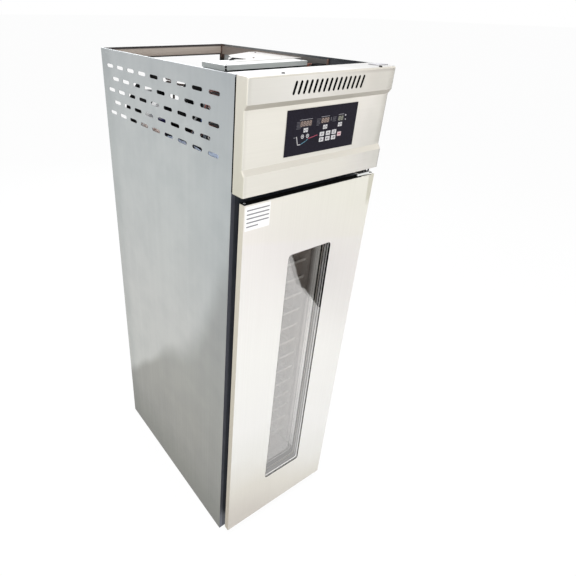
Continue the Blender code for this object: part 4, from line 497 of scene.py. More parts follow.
# Folded sheet with painted light and shade: its tone on top, on upright faces and underneath
for key, name, *look, metallic in (
    ("lid_sheet", "Bright zinc plated lid", "#f4f5f4", "#b9bebd", "#8a8d8e", 0.25),
    ("cover_sheet", "Bright zinc plated cover", "#e6e3e0", "#c4c3c1", "#8a8d8e", 0.25),
    # The hinge plate's top is painted shadow and its front a painted highlight
    ("hinge_sheet", "Zinc plated bracket in shade", "#101012", "#f4f2ee", "#0c0c0d", 0.1),
    ("tab_sheet", "Folded steel tab", "#c9c8cc", "#8c8b90", "#6a6a6e", 0.3),
):
    FINISHES[key] = surface(name, faced_sheet, *look, metallic=metallic)
# Moulded, sprayed and extruded finishes: two tones, grain, roughness, relief, then the mirror share.
# The black ones swallow light, the lenses and the film shine a little, and the plastics are satin.
for key, name, *look, specular in (
    ("rubber", "Extruded EPDM rubber", "#080809", "#040405", 0.003, 0.6, 0.00008, 0.12),
    ("black_enamel", "Black stove enamel", "#080809", "#040405", 0.002, 0.5, 0.00004, 0.15),
    ("nylon", "Moulded black nylon", "#0a0a0b", "#060607", 0.0015, 0.5, 0.00006, 0.2),
    ("white_plastic", "Moulded polypropylene", "#eceae4", "#dfddd6", 0.002, 0.45, 0.00005, 0.5),
    ("grey_plastic", "Moulded grey ABS", "#8d8f92", "#7e8083", 0.002, 0.45, 0.00006, 0.5),
    ("blue_plastic", "Potting resin", "#27407c", "#1c3266", 0.003, 0.35, 0.00005, 0.5),
    ("circuit_board", "Solder mask", "#1d6a3c", "#14532d", 0.004, 0.35, 0.00004, 0.5),
    ("black_spacer", "Black glazing spacer", "#1e1d1d", "#151414", 0.003, 0.5, 0.00005, 0.25),
    ("open_foam", "Black open-cell foam", "#060606", "#020202", 0.0012, 0.9, 0.0006, 0.1),
    ("smoked", "Smoked acrylic", "#4e4340", "#423835", 0.004, 0.22, 0.00001, 0.5),
    ("olive_smoked", "Green smoked acrylic", "#4b4b44", "#3d3d38", 0.004, 0.22, 0.00001, 0.5),
    ("deck_film", "Blue protective film", "#dbe8ff", "#cfdffa", 0.030, 0.35, 0.00020, 0.5),
    ("relay_white", "White polycarbonate", "#ffffff", "#fbfbfb", 0.002, 0.4, 0.00004, 0.5),
    ("can_sleeve", "Violet sleeve", "#332e63", "#25214c", 0.004, 0.4, 0.00003, 0.5),
    ("brown_wire", "Brown PVC wire", "#86574a", "#6d4237", 0.002, 0.4, 0.00003, 0.5),
    ("red_wire", "Red PVC wire", "#c07a70", "#a25b52", 0.002, 0.4, 0.00003, 0.5),
    ("blue_wire", "Blue PVC wire", "#3c5c9c", "#2b4478", 0.002, 0.4, 0.00003, 0.5),
    ("black_wire", "Black PVC wire", "#0e0e0f", "#080809", 0.002, 0.4, 0.00003, 0.5),
    ("white_wire", "White PVC wire", "#e3e2de", "#cfcec9", 0.002, 0.4, 0.00003, 0.5),
):
    FINISHES[key] = surface(name, speckled, *look, specular=specular)
tinned = ("#d9ccc6", "#a98f85", 0.012, 0.4, 0.00003, (0.4, 0.6))
FINISHES["tinned_copper"] = surface("Tinned copper shell", speckled, *tinned, metallic=0.2)
# Flat prints and films: colour and, where not 0.5, roughness
for key, name, *look in (
    ("white_ink", "White screen ink", "#c9c8cb"),
    ("grey_ink", "Grey screen ink", "#55545c"),
    ("teal_ink", "Teal screen ink", "#4d7f93"),
    ("red_ink", "Red screen ink", "#9c3a52"),
    ("dark_ink", "Dark screen ink", "#34333c"),
    ("pink_ink", "Pale red screen ink", "#cdb2b6"),
    ("pale_ink", "Pale grey screen ink", "#96949a"),
    ("toner", "Grey toner", "#808186"),
    ("segments", "Unlit red segments", "#a08a80"),
    ("olive_segments", "Unlit green segments", "#8b8c7e"),
    ("lamp_lens", "Diffused epoxy lens", "#c4c2c8", 0.3),
    ("label_film", "Polypropylene label film", "#f9f9f9", 0.42),
):
    FINISHES[key] = surface(name, printed, *look)

# Nodes that share a slot but don't look alike
OWN_FINISHES = {
    "fascia_sheet": ("fascia",),
    "rear_rail": ("rear_rail",),
    "rusted_post": ("rear_post_left", "rear_post_right"),
    "right_sheet": ("side_panel_right",),
    "liner_sheet": (
        "liner_left", "liner_right", "liner_back", "liner_ceiling", "liner_floor",
        "air_duct_panel", "tray_rack_left", "tray_rack_right",
    ),
    "aged_copper": ("hot_gas_pipe", "suction_pipe"),
    "lid_sheet": ("electrical_box_lid",),
    "cover_sheet": ("pipe_cover",),
    "hinge_sheet": ("hinge_bracket_top", "hinge_bracket_bottom"),
}


def finish_nodes():
    finishes = {part["node"]: part["material_slot"] for part in frame["record"]["subparts"]}
    finishes.update({name: key for key, names in OWN_FINISHES.items() for name in names})
    for name, made in frame["nodes"].items():
        made.data.materials.clear()
        made.data.materials.append(FINISHES[finishes[name]])


# The stage: floor, lamps and world


def seen_outright(node):
    """1 for the rays that show the studio itself, seen straight, mirrored or through glass."""
    camera, glossy, glass = (
        node("LightPath", out=f"Is {kind} Ray") for kind in ("Camera", "Glossy", "Transmission")
    )
    return node("Math", node("Math", camera, glossy, operation="MAXIMUM"), glass, operation="MAXIMUM")


def studio_floor(node):
    """A pale floor that keeps the cabinet's shadow and otherwise shows as white."""
    share = node("Math", seen_outright(node), 0.93, operation=TIMES)
    return node("MixShader", share, node("BsdfDiffuse", "#f2f2f0"), node("Emission", "#ffffff", 1.02))


def black_velvet(node):
    tone = node("ValToRGB", grain(node, 0.5), stops={0.3: "#050506", 0.7: "#0c0c0e"})
    return node("BsdfDiffuse", tone)


FLOOR_REACH = 90.0
# The room's dark corner, which the window's top right shows
DARK_FLAG = (
    (1.46, -1.62), (1.574, -1.907), (1.561, -1.926), (1.672, -2.096), (1.91, -2.43),
    (1.93, -2.66), (2.70, -2.72), (2.60, -2.38), (1.60, -1.58),
)
# Each lamp's place, size in metres, power in watts and colour
SOFTBOXES = {
    "overhead softbox": ((-0.4, -0.6, 4.6), 3.2, 90, "#ffffff"),
    "key softbox": ((-4.6, -5.4, 3.8), 2.8, 270, "#fffdf8"),
    "left softbox": ((-4.8, -0.4, 2.4), 2.6, 40, "#f6f9ff"),
    "right softbox": ((3.6, -3.0, 2.4), 2.6, 24, "#fffaf2"),
    "rear softbox": ((1.5, 4.4, 3.0), 2.6, 60, "#f6f9ff"),
}
AIM = Vector((0, 0, 1.1))


def sheet_on_stage(name, corners, height, material):
    mesh = bpy.data.meshes.new(name)
    mesh.from_pydata([(x, y, height) for x, y in corners], [], [range(len(corners))])
    mesh.materials.append(material)
    made = link(name, mesh)
    return made


def stage():
    scene = bpy.context.scene
    scene.view_settings.view_transform = "Standard"
    scene.world = bpy.data.worlds.new("studio")
    node = emptied(scene.world)
    lit, white = node("Background", "#f4f6fa", 0.50), node("Background", "#ffffff", 1.0)
    node("OutputWorld", node("MixShader", seen_outright(node), lit, white))
    square = [(x * FLOOR_REACH, y * FLOOR_REACH) for x, y in ((-1, -1), (1, -1), (1, 1), (-1, 1))]
    sheet_on_stage("floor", square, 0.0, painted("Pale studio floor", studio_floor))
    # Only mirrors see the flag, so it takes no light from the cabinet
    flag = sheet_on_stage("dark_flag", DARK_FLAG, 0.002, painted("Black velvet", black_velvet))
    flag.visible_camera = flag.visible_diffuse = flag.visible_shadow = flag.visible_transmission = False
    for name, (at, size, power, code) in SOFTBOXES.items():
        data = bpy.data.lights.new(name, "AREA")
        data.size, data.energy, data.color = size, power, linear(code)[:3]
        turn = (AIM - Vector(at)).to_track_quat("-Z", "Y").to_matrix().to_4x4()
        link(name, data).matrix_world = Matrix.Translation(at) @ turn


# Geometry node trees for what repeats


def plain_tree(name, build, **sockets):
    """A geometry tree with named inputs, which ends in plain mesh with its material on it."""
    tree = bpy.data.node_groups.new(name, "GeometryNodeTree")
    for label, kind in {"Geometry": "Geometry", **sockets, "Material": "Material"}.items():
        tree.interface.new_socket(label, in_out="INPUT", socket_type=f"NodeSocket{kind}")
    tree.interface.new_socket("Geometry", in_out="OUTPUT", socket_type="NodeSocketGeometry")
    node = partial(add, tree)
    given = node("NodeGroupInput").node.outputs
    plain = node("GeometryNodeRealizeInstances", build(node, given))
    node("NodeGroupOutput", node("GeometryNodeSetMaterial", plain, inputs={"Material": given["Material"]}))
    return tree


def copies_in_a_row(node, given):
    """Copies of one shape, each a step on from the one before."""
    points = node("GeometryNodePoints", given["Count"])
    index = node("GeometryNodeInputIndex")
    place = node("VectorMath", given["Step"], index, given["Start"], operation="MULTIPLY_ADD")
    moved = node("GeometryNodeSetPosition", points, inputs={"Position": place})
    shape = node("GeometryNodeObjectInfo", given["Shape"], out="Geometry")
    return node("GeometryNodeInstanceOnPoints", moved, inputs={"Instance": shape})


def set_on_points(node, given):
    """Copies of one shape at the carrier's points, its Z turned to one facing."""
    turn = node("FunctionNodeAlignRotationToVector", inputs={"Vector": given["Facing"]}, axis="Z")
    shape = node("GeometryNodeObjectInfo", given["Shape"], out="Geometry")
    turned = {"Instance": shape, "Rotation": turn}
    return node("GeometryNodeInstanceOnPoints", given["Geometry"], inputs=turned)


def tube_along_curves(node, given):
    """A round tube of one radius along each curve of the carrier."""
    ring = node("GeometryNodeCurvePrimitiveCircle", given["Sides"], given["Radius"])
    sockets = {"Curve": given["Geometry"], "Profile Curve": ring, "Fill Caps": True}
    return node("GeometryNodeSetShadeSmooth", node("GeometryNodeCurveToMesh", inputs=sockets))


ROW_INPUTS = {"Shape": "Object", "Count": "Int", "Start": "Vector", "Step": "Vector"}
ROW = plain_tree("Copies in a row", copies_in_a_row, **ROW_INPUTS)
ON_POINTS = plain_tree("Set on points", set_on_points, Shape="Object", Facing="Vector")
TUBE = plain_tree("Tube along curves", tube_along_curves, Radius="Float", Sides="Int")


def grown(name, carrier, tree, **values):
    """The plain mesh that a tree makes on a carrier, which is then dropped."""
    modifier = carrier.modifiers.new("grow", "NODES")
    modifier.node_group = tree
    for item in tree.interface.items_tree:
        if item.in_out == "INPUT" and item.name.lower() in values:
            modifier[item.identifier] = values[item.name.lower()]
    bpy.context.view_layer.update()
    graph = bpy.context.evaluated_depsgraph_get()
    mesh = bpy.data.meshes.new_from_object(carrier.evaluated_get(graph), depsgraph=graph)
    mesh.name = name
    bpy.data.objects.remove(carrier)
    return link(name, mesh)


def points_carrier(points):
    mesh = bpy.data.meshes.new("carrier")
    mesh.from_pydata(points, [], [])
    return link("carrier", mesh)


# Plain shapes, in metres. An outline is (x, z) points.


def rides(made, body="cabinet"):
    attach(made, body)


def as_object(name, shape, finish=None, smooth=False):
    mesh = bpy.data.meshes.new(name)
    shape.to_mesh(mesh)
    shape.free()
    if finish:
        mesh.materials.append(FINISHES[finish])
    if smooth:
        mesh.shade_smooth()
        mesh.set_sharp_from_angle(angle=math.radians(40))
    return link(name, mesh)


def piece(name, shape, finish, body="cabinet", smooth=False):
    """Makes a shape into a piece that rides on a body."""
    rides(as_object(name, shape, finish, smooth), body)


def corners(name):
    """The low and the high corner of a node's box."""
    low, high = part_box(name)
    return Vector(low), Vector(high)


def bars(*blocks, shape=None):
    """Adds blocks to a shape: two corners each and, where edges are rounded, the bevel and its steps."""
    shape = shape or bmesh.new()
    for low, high, *rounding in blocks:
        low, high = Vector(low), Vector(high)
        fit = Matrix.Translation((low + high) / 2) @ Matrix.Diagonal((*(high - low), 1.0))
        made = bmesh.ops.create_cube(shape, size=1.0, matrix=fit)["verts"]
        if rounding:
            bevel, steps = (*rounding, 1)[:2]
            edges = list({edge for vert in made for edge in vert.link_edges})
            bmesh.ops.bevel(shape, geom=edges, offset=bevel, segments=steps, profile=0.5, affect="EDGES")
    return shape


def skin(shape, loops, endless=False):
    """Joins loops of as many points each, and closes both ends or joins the last loop to the first."""
    rings = [[shape.verts.new(point) for point in loop] for loop in loops]
    pairs = list(zip(rings, rings[1:]))
    if endless:
        pairs.append((rings[-1], rings[0]))
        made = []
    else:
        made = [shape.faces.new(rings[0][::-1]), shape.faces.new(rings[-1])]
    for a, b in pairs:
        for k in range(-1, len(a) - 1):
            made.append(shape.faces.new((a[k], a[k + 1], b[k + 1], b[k])))
    bmesh.ops.recalc_face_normals(shape, faces=made)


def at_depth(outline, y):
    return [(x, y, z) for x, z in outline]


def slab(shape, outline, front, back):
    """Adds a plate between two depths."""
    skin(shape, [at_depth(outline, front), at_depth(outline, back)])


def band(shape, inner, outer, front, back):
    """Adds a frame between two outlines of as many points each."""
    loops = ((inner, front), (outer, front), (outer, back), (inner, back))
    skin(shape, [at_depth(*loop) for loop in loops], endless=True)


def arc(centre, radius, first, last, steps):
    """Points on an arc from one angle to another, in degrees."""
    angles = [math.radians(first + (last - first) * k / steps) for k in range(steps + 1)]
    return [(centre[0] + radius * math.cos(a), centre[1] + radius * math.sin(a)) for a in angles]


def circle(centre, radius, steps):
    return arc(centre, radius, 0, 360, steps)[:-1]


def rounded(low, high, radius, steps=4):
    """The outline of a rectangle with round corners."""
    left, right = low[0] + radius, high[0] - radius
    bottom, top = low[1] + radius, high[1] - radius
    points = []
    for k, centre in enumerate(((right, bottom), (right, top), (left, top), (left, bottom))):
        points += arc(centre, radius, 90 * k - 90, 90 * k, steps)
    return points


def box_outline(centre, width, height, radius=0.0):
    """The outline of an upright rectangle about a centre, with round corners where radius is given."""
    x, z = centre
    left, right, bottom, top = x - width / 2, x + width / 2, z - height / 2, z + height / 2
    if radius:
        return rounded((left, bottom), (right, top), radius)
    return [(left, bottom), (right, bottom), (right, top), (left, top)]


def smooth_path(points, steps=8):
    """Points along a Catmull-Rom curve through the given ones."""
    ends = [2 * points[0] - points[1], *points, 2 * points[-1] - points[-2]]
    path = []
    for a, b, c, d in zip(ends, ends[1:], ends[2:], ends[3:]):
        bend, twist = 2 * a - 5 * b + 4 * c - d, 3 * b - a - 3 * c + d
        for k in range(steps):
            t = k / steps
            path.append(0.5 * (2 * b + (c - a) * t + bend * t * t + twist * t**3))
    return [*path, points[-1]]


def wires(name, paths, finish, radius=0.0016, sides=8):
    """Round wires or tubes along paths, as one piece."""
    data = bpy.data.curves.new("carrier", "CURVE")
    data.dimensions = "3D"
    for path in paths:
        points = smooth_path([Vector(point) for point in path])
        spline = data.splines.new("POLY")
        spline.points.add(len(points) - 1)
        for place, point in zip(spline.points, points):
            place.co = (*point, 1.0)
    carrier = link("carrier", data)
    rides(grown(name, carrier, TUBE, radius=radius, sides=sides, material=FINISHES[finish]))


# The control panel's print: places are shares of the film's width and height, from its top left

FILM_LOW, FILM_HIGH = corners("control_panel")
FILM_WIDTH, FILM_HEIGHT = FILM_HIGH.x - FILM_LOW.x, FILM_HIGH.z - FILM_LOW.z
# The whole print sits this share of the width farther left
PRINT_SHIFT = 0.03
# How far a print stands proud of its sheet, one on top of another print, and how deep each is set in
PROUD, ON_TOP, SET_IN = 0.00012, 0.0002, 0.00004


def on_film(across, down):
    return FILM_LOW.x + (across - PRINT_SHIFT) * FILM_WIDTH, FILM_HIGH.z - down * FILM_HEIGHT


def inked(name, outlines, finish, proud=PROUD, face=FILM_LOW.y, slot="keypad_film", body="cabinet"):
    """One print: flat shapes that stand a hair proud of the sheet they are on."""
    shape = bmesh.new()
    for outline in outlines:
        slab(shape, outline, face - proud, face + SET_IN)
    piece(name, shape, finish, body)


def stroke(points, width):
    """Outlines of a line of this width through the points, one for each stretch."""
    outlines = []
    for start, end in zip(map(Vector, points), map(Vector, points[1:])):
        along = (end - start).normalized() * width / 2
        aside = Vector((-along.y, along.x))
        start, end = start - along, end + along
        outlines.append([start + aside, start - aside, end - aside, end + aside])
    return outlines


def figure_eight(centre, width, height, thick, lean=0.14):
    """The seven bars of one digit, leaning a little to the right."""
    side, top = (width - thick) / 2, (height - thick) / 2
    level = [((-side, v), (side, v)) for v in (top, 0, -top)]
    upright = [((u, v), (u, v + top)) for u in (-side, side) for v in (-top, 0)]
    outlines = []
    for start, end in level + upright:
        start, end = Vector(start), Vector(end)
        along = (end - start).normalized() * thick
        aside = Vector((along.y, along.x)) / 2
        start, end = start + along * 0.22, end - along * 0.22
        near, far = start + along / 2, end - along / 2
        ring = (start, near - aside, far - aside, end, far + aside, near + aside)
        outlines.append([(centre[0] + u + v * lean, centre[1] + v) for u, v in ring])
    return outlines


def display_print():
    """Three displays: their lens, then the unlit bars of each digit under it."""
    for name, middle, size, digits, tint in (
        ("time_display", (0.290, 0.320), (0.049, 0.017), 4, ""),
        ("heat_display", (0.560, 0.310), (0.035, 0.016), 3, ""),
        ("damp_display", (0.789, 0.315), (0.024, 0.015), 2, "olive_"),
    ):
        x, z = on_film(*middle)
        inked(f"{name}_lens", [box_outline((x, z), *size, 0.0008)], f"{tint}smoked")
        pitch = size[0] / digits
        outlines = []
        for k in range(digits):
            place = (x + (k - (digits - 1) / 2) * pitch * 0.95, z)
            outlines += figure_eight(place, pitch * 0.66, size[1] * 0.80, 0.0016)
        inked(f"{name}_digits", outlines, f"{tint}segments", ON_TOP)


def rules_print():
    """Rules over the displays and beside them, and the small bars left of each."""
    rules, marks = [], []
    for across, down, width in ((0.29, 0.232, 0.052), (0.56, 0.226, 0.036), (0.79, 0.228, 0.024)):
        rules.append(box_outline(on_film(across, down), width, 0.0012))
    for start, end in (((0.140, 0.60), (0.165, 0.597)), ((0.645, 0.270), (0.645, 0.335))):
        rules += stroke([on_film(*start), on_film(*end)], 0.0011)
    for left, right, top, bottom, count in (
        (0.165, 0.232, 0.272, 0.415, 6), (0.440, 0.490, 0.262, 0.398, 6), (0.668, 0.722, 0.272, 0.358, 4),
    ):
        for k in range(count):
            down = top + (bottom - top) * k / (count - 1)
            end = right - (0.012 if k % 3 == 2 else 0)
            marks.append(box_outline(on_film((left + end) / 2, down), (end - left) * FILM_WIDTH, 0.0014))
    inked("panel_rules", rules, "pale_ink")
    inked("panel_bars", marks, "grey_ink")


# Each key's place on the film and the strokes of its plain mark, in millimetres from its middle
KEYS = {
    (0.534, 0.612): (((-5, 0), (5, 0)), ((0, -3), (0, 3))),
    (0.625, 0.610): (((-5, -3), (-1, 3)), ((-1, 3), (5, -3))),
    (0.712, 0.606): (((-5, 2), (5, 2)), ((-5, -2), (5, -2))),
    (0.534, 0.738): (((-4, -3), (-4, 3)), ((-4, 3), (4, 0)), ((4, 0), (-4, -3))),
    (0.625, 0.735): (((-5, 0), (-1, 3)), ((-5, 0), (-1, -3)), ((-5, 0), (5, 0))),
    (0.712, 0.732): (((5, 0), (1, 3)), ((5, 0), (1, -3)), ((-5, 0), (5, 0))),
}


def keys_print():
    """Up and down keys under each display, two rows of keys with plain marks, and the power key."""
    keys, marks = [], []
    for place in ((0.295, 0.465), (0.569, 0.459), (0.789, 0.455)):
        middle, z = on_film(*place)
        for x, up in ((middle - 0.0048, 1), (middle + 0.0048, -1)):
            keys.append(box_outline((x, z), 0.0082, 0.0125, 0.0008))
            marks.append([(x - 0.0024, z - up * 0.002), (x + 0.0024, z - up * 0.002), (x, z + up * 0.0025)])
    for place, lines in KEYS.items():
        x, z = on_film(*place)
        keys.append(box_outline((x, z), 0.0192, 0.0132, 0.0012))
        for line in lines:
            marks += stroke([(x + u * MM, z + v * MM) for u, v in line], 0.0016)
    inked("panel_keys", keys, "white_ink")
    inked("panel_key_marks", marks, "dark_ink", ON_TOP)
    x, z = on_film(0.795, 0.674)
    inked("power_key", [box_outline((x, z), 0.0172, 0.0132, 0.0012)], "pink_ink")
    inked("power_key_mark", stroke([(x - 0.004, z), (x + 0.004, z)], 0.0026), "red_ink", ON_TOP)


def round_keys_and_lamps():
    """Two round keys above the process curve, and the lenses of two lamps on the right."""
    rings, marks = bmesh.new(), []
    for across in (0.258, 0.328):
        x, z = on_film(across, 0.60)
        inner, outer = (circle((x, z), radius, 24) for radius in (0.0040, 0.0060))
        band(rings, inner, outer, FILM_LOW.y - PROUD, FILM_LOW.y + SET_IN)
        marks += stroke([(x - 0.0016, z + 0.001), (x + 0.0016, z - 0.001)], 0.0022)
    piece("round_keys", rings, "white_ink")
    inked("round_key_marks", marks, "white_ink")
    lamps = bmesh.new()
    for across, down, radius in ((0.857, 0.260, 0.0026), (0.862, 0.356, 0.0020)):
        x, z = on_film(across, down)
        flat = Matrix.Translation((x, FILM_LOW.y, z)) @ Matrix.Diagonal((1, 0.35, 1, 1))
        bmesh.ops.create_uvsphere(lamps, u_segments=16, v_segments=8, radius=radius, matrix=flat)
    piece("panel_lamps", lamps, "lamp_lens", smooth=True)


def curve_print():
    """The curve of one proofing run: cooling in white, rising in teal, hot in red."""
    for name, places, ink in (
        ("curve_cooling", ((0.178, 0.590), (0.200, 0.770), (0.241, 0.770)), "white_ink"),
        ("curve_rising", ((0.241, 0.770), (0.310, 0.710), (0.339, 0.665)), "teal_ink"),
        ("curve_hot", ((0.339, 0.665), (0.464, 0.617)), "red_ink"),
    ):
        inked(name, stroke([on_film(*place) for place in places], 0.0024), ink)


def blank_label():
    """The notice on the door's upper left, with grey rules for its lines."""
    low, high = (-0.287, 1.579), (-0.189, 1.659)
    on_door = {"face": corners("door_outer_pan")[0].y, "slot": "white_plastic", "body": "door"}
    rules = []
    for k, margin in enumerate((0.004, 0.004, 0.004, 0.004, 0.046)):
        left, right = low[0] + 0.006, high[0] - margin
        rules.append(box_outline(((left + right) / 2, high[1] - 0.013 - 0.0134 * k), right - left, 0.0042))
    inked("door_label", [rounded(low, high, 0.002)], "label_film", **on_door)
    inked("door_label_rules", rules, "toner", ON_TOP, **on_door)


# Window, tray racks and chamber


def window_seals():
    """White strips round the glazing spacer's inside, and a black lip at the outer pane's edge that paints
    the shadow of the gap there.
    """
    left, bottom, right, top, corner = -0.088, 0.271, 0.116, 1.441, 0.0129
    outer = rounded((left, bottom), (right, top), corner, 5)
    gaps, rim = ((-0.4750, -0.4706), (-0.4652, -0.4575)), ((-0.4829, -0.4764),)
    for name, depths, width, finish, slot in (
        ("window_spacer_strips", gaps, 0.0009, "seal_edge", "aluminium"),
        ("window_edge_lip", rim, 0.0012, "open_foam", "rubber"),
    ):
        inner = rounded((left + width, bottom + width), (right - width, top - width), corner - width, 5)
        shape = bmesh.new()
        for front, back in depths:
            band(shape, inner, outer, front, back)
        piece(name, shape, finish, "door")


LEDGES, LEDGE_STEP, FIRST_LEDGE = 16, 0.0863, 0.1815


def rack_tabs():
    """The tabs that close each tray ledge's front end and carry it to the wall."""
    for name in ("tray_rack_left", "tray_rack_right"):
        low, high = corners(name)
        left, right = (low.x - 0.032, high.x) if high.x > 0 else (low.x, high.x + 0.032)
        tab = bars(((left, low.y - 0.0016, 0.0), (right, low.y - 0.0002, 0.0125), 0.0004))
        tab = as_object("tab_shape", tab)
        values = {"shape": tab, "count": LEDGES, "start": (0, 0, FIRST_LEDGE), "step": (0, 0, LEDGE_STEP)}
        made = grown(f"{name}_tabs", points_carrier([]), ROW, material=FINISHES["shelf_edge"], **values)
        bpy.data.objects.remove(tab)
        rides(made)


def chamber_joint_strips():
    """The white strip over the joint of each side lining, just behind the door."""
    (_, _, floor), (_, _, ceiling) = corners("liner_right")
    wall = corners("tray_rack_right")[1].x
    blocks = [
        ((left, -0.3240, floor + 0.006), (left + 0.0016, -0.2760, ceiling - 0.006), 0.0004)
        for left in (-wall, wall - 0.0016)
    ]
    piece("chamber_joint_strips", bars(*blocks), "joint_strip")


# Screws: one cross-head screw, set at the points of a carrier


def screw_head(radius, height):
    """A domed head with a cross recess, standing on Z."""
    arm, half = radius * 0.55, radius * 0.16
    plus = [(arm, -half), (arm, half), (half, half), (half, arm), (-half, arm), (-half, half)]
    plus += [(-x, -y) for x, y in plus]
    loops = []
    for out, level in ((radius, -0.0003), (radius, height * 0.35), (radius * 0.86, height * 0.75)):
        loops.append([(*(Vector(point).normalized() * out), level) for point in plus])
    for level in (height, height * 0.35):
        loops.append([(x, y, level) for x, y in plus])
    shape = bmesh.new()
    skin(shape, loops)
    return as_object("screw_head_shape", shape)


def screws(name, head, facing, points, finish="zinc_screw", body="cabinet"):
    """Heads at points, all with one facing, as one piece."""
    carrier = points_carrier(points)
    made = grown(name, carrier, ON_POINTS, shape=head, facing=facing, material=FINISHES[finish])
    rides(made, body)


def all_screws():
    small, large = screw_head(0.0040, 0.0022), screw_head(0.0055, 0.0028)
    up, front, rear = (0, 0, 1), (0, -1, 0), (0, 1, 0)
    top = corners("fascia")[1].z
    points = [(-0.164, -0.463, top), (0.2295, -0.4765, top)]
    screws("fascia_screws", large, up, points, "black_enamel")
    top = corners("door_outer_pan")[1].z
    screws("door_top_screw", small, up, [(-0.2824, -0.4700, top + 0.0021)], body="door")
    back = corners("door_inner_liner")[1].y
    points = [(x, back, z) for x in (-0.232, 0.236) for z in (0.12, 0.47, 0.86, 1.25, 1.58)]
    screws("door_liner_screws", small, rear, points, body="door")
    low, high = corners("electrical_box_lid")
    across, deep = (low.x + 0.018, high.x - 0.018), (low.y + 0.014, high.y - 0.014)
    points = [(x, y, high.z) for x in across for y in deep]
    screws("lid_screws", small, up, points)
    points = [(low.x + 0.005, low.y, z) for z in (1.9900, 1.9985)]
    screws("lid_rivets", small, front, points, "black_enamel")
    top = corners("pipe_cover")[1].z
    screws("cover_screws", small, up, [(0.112, 0.013, top), (0.262, 0.190, top)], "rusted_post")
    back = corners("back_panel")[1].y + 0.0010
    points = [(x, back, 0.06 + 0.20 * k) for x in (-0.281, 0.281) for k in range(9)]
    screws("back_panel_screws", large, rear, points, "dark_screw")
    for head in (small, large):
        bpy.data.objects.remove(head)


# Machine space

ON_DECK = 1.7125


def wiring_loom():
    """The fixed loom that runs from the electrical box along the machine space, tied in a bundle."""
    box = corners("electrical_box")[0].x
    x = box - 0.012
    for k, (colour, high, deep, swing) in enumerate((
        ("brown", 1.905, -0.100, 0.016), ("red", 1.880, -0.086, 0.024), ("black", 1.862, -0.070, 0.010),
        ("blue", 1.836, -0.058, 0.020), ("white", 1.812, -0.046, 0.014), ("brown", 1.790, -0.034, 0.026),
    )):
        paths = [
            [
                (box + 0.004, deep + shift, high), (x - swing, deep + 0.004 + shift, high + 0.006),
                (x - swing - 0.012, deep + 0.02, high - 0.050),
                (x - 0.020, deep + 0.05 + shift, 1.772 + 0.004 * k),
                (x - 0.016 + shift, 0.060, 1.722 + 0.004 * k),
                (x - 0.020 + shift, 0.180, 1.720 + 0.004 * k),
                (-0.150 + shift, 0.222, 1.738 + 0.003 * k), (-0.172 + 0.006 * k, 0.226, 1.746),
            ]
            for shift in (0.0, 0.0046)
        ]
        wires(f"loom_{colour}_{k + 1}", paths, f"{colour}_wire")


# Sleeves and pipes: radius and finish, then the path of each
SLEEVES = {
    "suction_insulation": (0.013, "rubber", (
        (-0.277, 0.275, ON_DECK), (-0.277, 0.297, 1.775), (-0.277, 0.295, 1.822), (-0.277, 0.252, 1.866),
        (-0.277, 0.208, 1.903), (-0.276, 0.150, 1.932), (-0.272, 0.102, 1.950), (-0.258, 0.086, 1.938),
        (-0.238, 0.110, 1.902), (-0.218, 0.122, 1.862), (-0.196, 0.130, 1.837), (-0.160, 0.118, 1.838),
        (-0.128, 0.100, 1.850),
    )),
    "supply_conduit": (0.010, "nylon", (
        (corners("electrical_box")[0].x, -0.020, 1.940), (-0.150, -0.012, 1.944), (-0.190, 0.006, 1.925),
        (-0.204, 0.016, 1.860), (-0.206, 0.000, 1.790), (-0.200, -0.020, 1.740), (-0.192, -0.040, ON_DECK),
    )),
    "deck_cable": (0.005, "nylon", (
        (-0.200, 0.152, ON_DECK), (-0.200, 0.140, 1.731), (-0.200, 0.090, 1.738), (-0.200, 0.010, 1.739),
        (-0.200, -0.070, 1.738), (-0.200, -0.112, 1.731), (-0.200, -0.124, ON_DECK),
    )),
}


def machine_space_lines():
    """Insulated lines, the supply conduit and the panel's leads, all held by the deck, box and duct."""
    for name, (radius, finish, path) in SLEEVES.items():
        wires(name, [path], finish, radius, 14)
    # The leads of the control panel, from its board to the duct: wires of one bundle lie above each other
    for k, (level, colours) in enumerate((
        (1.933, ("brown", "black", "brown", "red")),
        (1.882, ("black", "white", "brown", "red")),
        (1.829, ("red", "brown", "black", "black")),
        (1.783, ("brown", "white", "black", "brown")),
    )):
        for n, colour in enumerate(colours):
            height = level - 0.0066 + 0.0044 * n
            sway = 0.004 * math.sin(2.4 * n + k)
            path = [
                (-0.100 - 0.003 * n, -0.4482, 1.872 - 0.006 * k), (-0.116, -0.430, 1.868 - 0.006 * k),
                (-0.186 + sway, -0.355, height + 0.012), (-0.206 + sway, -0.270, height - 0.003),
                (-0.204 - sway, -0.205, height + 0.002), (-0.200 + sway, -0.165, height - 0.002),
                (-0.184, -0.130, height), (-0.150, -0.112, height),
            ]
            wires(f"panel_lead_{k + 1}_{n + 1}", [path], f"{colour}_wire", radius=0.0021)
    loops = [
        [
            (0.276 - shift, -0.150, 1.985), (0.282, -0.130 + shift, 1.990), (0.276, -0.108, 1.988 - shift),
            (0.262, -0.080, 1.975), (0.250, -0.068, 1.962),
        ]
        for shift in (0.0, 0.004, 0.008)
    ]
    wires("relay_leads", loops, "brown_wire", radius=0.0022)


